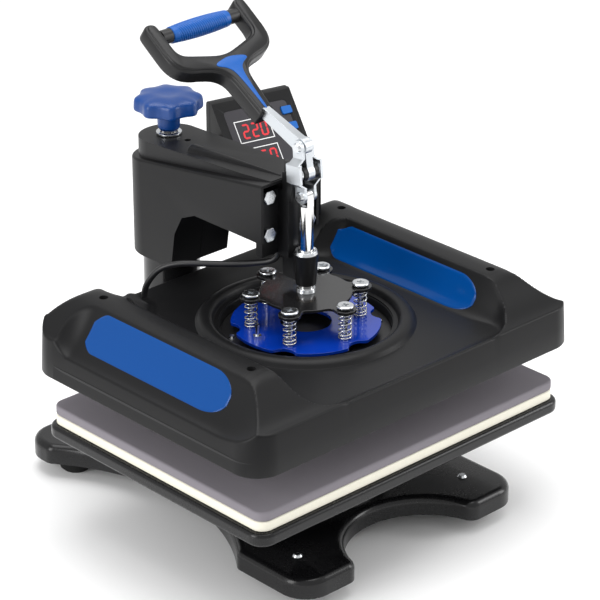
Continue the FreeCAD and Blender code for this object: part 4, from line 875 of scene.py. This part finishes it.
MATERIAL = "NodeSocketMaterial"
INTEGER = "NodeSocketInt"
FIRST_BOLT = 30
spring_tree, sin_, sout = node_tree("coil springs", [
    ("Wire radius", FLOAT, 0.00055), ("Coil radius", FLOAT, 0.006), ("Height", FLOAT, 0.027),
    ("Turns", FLOAT, 6.5), ("Count", INTEGER, 6), ("Circle radius", FLOAT, 0.05), ("Base", FLOAT, 0.2),
    ("Wire", MATERIAL, None)])
line = put(spring_tree, "GeometryNodeCurvePrimitiveLine")
dense = put(spring_tree, "GeometryNodeResampleCurve", {"Curve": line.outputs[0], "Count": 220})
factor = put(spring_tree, "GeometryNodeSplineParameter").outputs["Factor"]
turn = math_node(spring_tree, "MULTIPLY", math_node(spring_tree, "MULTIPLY", factor, sin_.outputs["Turns"]),
                 2 * math.pi)
rise = put(spring_tree, "ShaderNodeMapRange", {"From Min": -0.12, "From Max": 1.12, "Value": factor},
           interpolation_type="SMOOTHERSTEP")
swing = {axis: math_node(spring_tree, "MULTIPLY", math_node(spring_tree, wave, turn, 0),
                         sin_.outputs["Coil radius"]) for axis, wave in (("X", "COSINE"), ("Y", "SINE"))}
height = math_node(spring_tree, "MULTIPLY", rise.outputs["Result"], sin_.outputs["Height"])
offset = put(spring_tree, "ShaderNodeCombineXYZ", {**swing, "Z": height})
helix = put(spring_tree, "GeometryNodeSetPosition", {"Geometry": dense.outputs["Curve"],
                                                     "Position": offset.outputs["Vector"]})
section = put(spring_tree, "GeometryNodeCurvePrimitiveCircle", {"Resolution": 8,
                                                                "Radius": sin_.outputs["Wire radius"]})
wire = put(spring_tree, "GeometryNodeCurveToMesh", {"Fill Caps": True, "Curve": helix.outputs["Geometry"],
                                                    "Profile Curve": section.outputs["Curve"]})
spots = put(spring_tree, "GeometryNodeMeshCircle", {"Vertices": sin_.outputs["Count"],
                                                    "Radius": sin_.outputs["Circle radius"]})
lifted = put(spring_tree, "ShaderNodeCombineXYZ", {"Y": platen_y, "Z": sin_.outputs["Base"]})
placed_spots = put(spring_tree, "GeometryNodeTransform", {"Rotation": (0, 0, math.radians(FIRST_BOLT)),
                                                          "Geometry": spots.outputs["Mesh"],
                                                          "Translation": lifted.outputs["Vector"]})
copies = put(spring_tree, "GeometryNodeInstanceOnPoints", {"Points": placed_spots.outputs["Geometry"],
                                                           "Instance": wire.outputs["Mesh"]})
real = put(spring_tree, "GeometryNodeRealizeInstances", {"Geometry": copies.outputs["Instances"]})
round_wire = put(spring_tree, "GeometryNodeSetShadeSmooth", {"Geometry": real.outputs["Geometry"]})
dressed = put(spring_tree, "GeometryNodeSetMaterial", {"Geometry": round_wire.outputs["Geometry"],
                                                       "Material": sin_.outputs["Wire"]})
spring_tree.links.new(dressed.outputs["Geometry"], sout.inputs["Geometry"])


def grown(name, tree, values):
    """Run a node tree once on an empty mesh and keep the plain result."""
    piece = linked(name, bpy.data.meshes.new(name))
    grow = piece.modifiers.new("grow", "NODES")
    grow.node_group = tree
    for label, value in values.items():
        grow[socket_id(tree, label)] = value
    return plain_mesh(piece)


BOLT_CIRCLE = 52.0
springs = grown("coil_springs", spring_tree, {"Wire radius": 0.75 * MM, "Coil radius": 5.75 * MM,
                                              "Height": 25.4 * MM, "Turns": 6.5, "Count": 6,
                                              "Circle radius": BOLT_CIRCLE * MM, "Base": 200.4 * MM,
                                              "Wire": spring_wire})
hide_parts("pressure_springs")
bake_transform(springs)
print(f"springs {len(springs.data.polygons)} faces")

# %% [markdown]
# ## Screw heads
# The six bolts share one head: a flat pan with a rounded rim and a cross recess, turned from a
# profile and cut by a boolean. Its copies stand on the bolt circle, each turned by its own fixed
# angle, as real screws end up.

# %% Pan heads
def pan_head(name, radius, height, recess, material):
    """One screw head standing on the origin, with a cross recess."""
    profile = [(0.0, 0.0), (radius * 0.86, 0), (radius * 0.9, 0.12 * height), (radius, 0.45 * height),
               (radius, 0.66 * height), (radius * 0.95, 0.86 * height), (radius * 0.86, 0.97 * height),
               (radius * 0.74, height), (radius * 0.66, height * 0.93), (0.0, height * 0.9)]
    sides = 40
    angles = [2 * math.pi * n / sides for n in range(sides)]
    points = [(r * math.cos(angle) * MM, r * math.sin(angle) * MM, h * MM)
              for r, h in profile for angle in angles]
    head = new_piece(name, points, ring_faces(len(profile), sides, capped=False), material)
    tools = []
    for turn in (0, 90):
        mesh = bpy.data.meshes.new(name + "_slot")
        work = bmesh.new()
        bmesh.ops.create_cube(work, size=1.0, matrix=Matrix.Translation((0, 0, height * MM))
                              @ Matrix.Rotation(math.radians(turn), 4, "Z")
                              @ Matrix.Diagonal((recess * 2 * MM, recess * 0.5 * MM, height * 1.1 * MM, 1)))
        work.to_mesh(mesh)
        work.free()
        tools.append(linked(name + "_slot", mesh))
    carve(head, tools)
    smooth(head.data, math.radians(30))
    return head


def scattered(name, source, spots, body, turns, *replaced):
    """Copies of one mesh joined on a list of positions, each with its own turn."""
    work = bmesh.new()
    for (x, y, z), turn in zip(spots, turns):
        start = len(work.verts)
        work.from_mesh(source.data)
        work.verts.ensure_lookup_table()
        bmesh.ops.transform(work, verts=work.verts[start:],
                            matrix=Matrix.Translation((x * MM, y * MM + platen_y, z * MM))
                            @ Matrix.Rotation(math.radians(turn), 4, "Z"))
    mesh = bpy.data.meshes.new(name)
    work.to_mesh(mesh)
    work.free()
    mesh.materials.append(source.data.materials[0])
    mesh.set_sharp_from_angle(angle=math.radians(30))
    return stand_for(linked(name, mesh), body, *replaced)


BOLT_ANGLES = [math.radians(FIRST_BOLT + 60 * k) for k in range(6)]
RING = [(BOLT_CIRCLE * math.cos(angle), BOLT_CIRCLE * math.sin(angle)) for angle in BOLT_ANGLES]
TURNS = (12, 47, 81, 25, 66, 38)
HEAD_SEAT = 230.4
big_head = pan_head("big_head", 8.1, 3.4, 3.4, zinc)
scattered("shoulder_bolt_heads", big_head, [(x, y, HEAD_SEAT) for x, y in RING], "platen", TURNS,
          "shoulder_bolts")
bpy.data.objects.remove(big_head)
SHAFT = [(2.9, 200.2), (2.9, 230.5), (0.1, 230.5), (0.1, 200.2)]
for n, (x, y) in enumerate(RING):
    stand_for(turned(f"shoulder_shaft_{n}", SHAFT, zinc, x, y, 32), "platen")
print("bolt heads and shafts")

# %% [markdown]
# ## Pads
# Two loose pads lie on the lower platen: cream silicone below and grey sponge above. Both are cut
# sheets with softly rounded edges. The sponge gets open pores from a fine bump.

# %% Pad meshes
PAD_HALF = (190.0, 145.0)
PAD_CORNER = 12.0
foam_grey = finish_of("foam_grey", (0.215, 0.2, 0.222), 0.85, 0.1, 1500, 0.6, specular=0.2,
                      distance=0.0003)


def pad_line(half_x, half_y, corner, step=9):
    line = []
    for cx, cy, first in ((1, 1, 0), (-1, 1, 90), (-1, -1, 180), (1, -1, 270)):
        for turn in range(0, 91, step):
            angle = math.radians(first + turn)
            line.append((cx * (half_x - corner) + corner * math.cos(angle),
                         cy * (half_y - corner) + corner * math.sin(angle)))
    return line


def pad(name, low, high, edge, material):
    """A cut sheet with a rounded plan and rounded edges, built in rings from below to the top."""
    profile = []
    for turn in range(-90, 91, 15):
        angle = math.radians(turn)
        inset = edge * (1 - math.cos(angle))
        straight = ((high - low) / 2 - edge) * (1 if turn > 0 else -1)
        profile.append((inset, (high + low) / 2 + straight + edge * math.sin(angle)))
    points = []
    plan = len(pad_line(*PAD_HALF, PAD_CORNER))
    profile += [(20, high), (60, high)]
    profile = [(60, low), (20, low)] + profile
    for inset, height in profile:
        line = pad_line(PAD_HALF[0] - inset, PAD_HALF[1] - inset, max(PAD_CORNER - inset, 1.0))
        points += [(x * MM, y * MM + platen_y, height * MM) for x, y in line]
    return new_piece(name, points, ring_faces(len(profile), plan), material, math.radians(60))


silicone = pad("silicone_pad_soft", 106.55, 116.45, 1.6, cream_silicone)
stand_for(silicone, "base", "silicone_pad")
sponge = pad("sponge_pad_soft", 116.45, 126.0, 2.2, foam_grey)
stand_for(sponge, "base", "sponge_pad")
nodes["sponge_pad"].data.materials[0] = foam_grey
print("pads laid")

# %% [markdown]
# ## Display
# The panel carries two readouts in pale frames, each a row of seven-segment digits. A digit is a
# list of lit segments, listed for 0, 2 and 6; every segment is a small six-sided bar that
# glows red just above the film.

# %% Readouts
digit_red = bpy.data.materials.new("digit_red")
digit_red.use_nodes = True
digit_shader = digit_red.node_tree.nodes["Principled BSDF"]
digit_shader.inputs["Base Color"].default_value = (0.35, 0.01, 0.015, 1)
digit_shader.inputs["Emission Color"].default_value = (0.62, 0.02, 0.03, 1)
digit_shader.inputs["Emission Strength"].default_value = 0.75
frame_white = finish_of("frame_white", (0.85, 0.85, 0.85), 0.5, 0.05, 1500, 0.02)
BOX_TURN = math.radians(-12)
FACE_LEAN = math.radians(41)
BOX_KNEE = 280.0
box_matrix = (Matrix.Translation((38.3 * MM, 128.3 * MM + platen_y, 0)) @ Matrix.Rotation(BOX_TURN, 4, "Z"))


def on_panel(u, v, out):
    """A point on the leaning face: u across, v up the slope, out from the film, in millimetres."""
    return box_matrix @ Vector((u * MM, (v * math.sin(FACE_LEAN) - out * math.cos(FACE_LEAN)) * MM,
                                (BOX_KNEE + v * math.cos(FACE_LEAN) + out * math.sin(FACE_LEAN)) * MM))


def flat_bar(a, b, half, out):
    """Six corners of a bar from a to b with pointed ends, on the panel."""
    a, b = Vector(a), Vector(b)
    way = (b - a).normalized()
    side = Vector((-way.y, way.x)) * half
    return [on_panel(p.x, p.y, out) for p in (a, a + way * half + side, b - way * half + side, b,
                                              b - way * half - side, a + way * half - side)]


SEGMENTS = {"a": ((0, 1), (1, 1)), "b": ((1, 1), (1, 0.5)), "c": ((1, 0.5), (1, 0)), "d": ((0, 0), (1, 0)),
            "e": ((0, 0.5), (0, 0)), "f": ((0, 1), (0, 0.5)), "g": ((0, 0.5), (1, 0.5))}
LIT = {"0": "abcdef", "2": "abged", "6": "afgecd"}
DIGIT_WIDE, DIGIT_TALL, SEGMENT_HALF, SLANT = 6.0, 13.5, 0.95, 0.9


def readout(name, text, left, low, pitch):
    points, faces = [], []
    for k, letter in enumerate(text):
        for segment in LIT[letter]:
            (x0, y0), (x1, y1) = SEGMENTS[segment]
            start = (left + k * pitch + x0 * DIGIT_WIDE + y0 * SLANT, low + y0 * DIGIT_TALL)
            end = (left + k * pitch + x1 * DIGIT_WIDE + y1 * SLANT, low + y1 * DIGIT_TALL)
            base = len(points)
            points += [tuple(p) for p in flat_bar(start, end, SEGMENT_HALF, 0.06)]
            points += [tuple(p) for p in flat_bar(start, end, SEGMENT_HALF, 0.12)]
            faces += [tuple(base + n for n in face) for face in ring_faces(2, 6)]
    stand_for(new_piece(name, points, faces, digit_red, merge=1e-7), "arm")


def picture_frame(name, left, right, low, high, line):
    points, faces = [], []
    for out in (0.05, 0.11):
        for inset in (0, line):
            near, far, foot, top = left + inset, right - inset, low + inset, high - inset
            spots = ((near, foot), (far, foot), (far, top), (near, top))
            points += [tuple(on_panel(u, v, out)) for u, v in spots]
    for n in range(4):
        m = (n + 1) % 4
        faces += [(n, m, 4 + m, 4 + n), (8 + n, 8 + m, 12 + m, 12 + n), (n, m, 8 + m, 8 + n),
                  (4 + n, 4 + m, 12 + m, 12 + n)]
    stand_for(new_piece(name, points, faces, frame_white, merge=1e-7), "arm")


picture_frame("upper_frame", 16, 54, 45, 68, 0.9)
picture_frame("lower_frame", 16, 54, 16, 39, 0.9)
readout("upper_readout", "220", 22.5, 49.5, 10)
readout("lower_readout", "60", 32.5, 20.5, 10)
print("readouts made")

# %% [markdown]
# ## Setting
# A plain pale floor and soft light from above and both sides, as in a product studio. Large area
# lights give the long, soft reflections that show the form of black plastic.

# %% Floor and lights
floor_material = bpy.data.materials.new("studio_floor")
floor_material.use_nodes = True
floor_shader = floor_material.node_tree.nodes["Principled BSDF"]
floor_shader.inputs["Base Color"].default_value = (0.93, 0.93, 0.93, 1)
floor_shader.inputs["Roughness"].default_value = 0.7
floor_shader.inputs["Specular IOR Level"].default_value = 0.15
FLOOR = 4.0
corners = [(-FLOOR, -FLOOR, 0), (FLOOR, -FLOOR, 0), (FLOOR, FLOOR, 0), (-FLOOR, FLOOR, 0)]
floor = new_piece("floor", corners, [(0, 1, 2, 3)], floor_material)


def softbox(name, place, target, width, height, power):
    light = bpy.data.lights.new(name, "AREA")
    light.shape = "RECTANGLE"
    light.size = width
    light.size_y = height
    light.energy = power
    lamp = linked(name, light)
    lamp.location = place
    lamp.rotation_euler = (Vector(target) - Vector(place)).to_track_quat("-Z", "Y").to_euler()


AIM = (0, 0, 0.2)
softbox("overhead", (0.1, 0.1, 1.9), AIM, 1.6, 1.6, 26)
softbox("left_side", (-2.0, 0.2, 0.9), AIM, 0.9, 1.4, 22)
softbox("right_side", (1.7, -1.3, 1.0), AIM, 0.7, 1.3, 16)
world = bpy.data.worlds.new("studio")
bpy.context.scene.world = world
world.use_nodes = True
sky = world.node_tree.nodes["Background"]
sky.inputs["Color"].default_value = (1, 1, 1, 1)
sky.inputs["Strength"].default_value = 0.8
bpy.context.scene.view_settings.view_transform = "Standard"
print("setting ready")
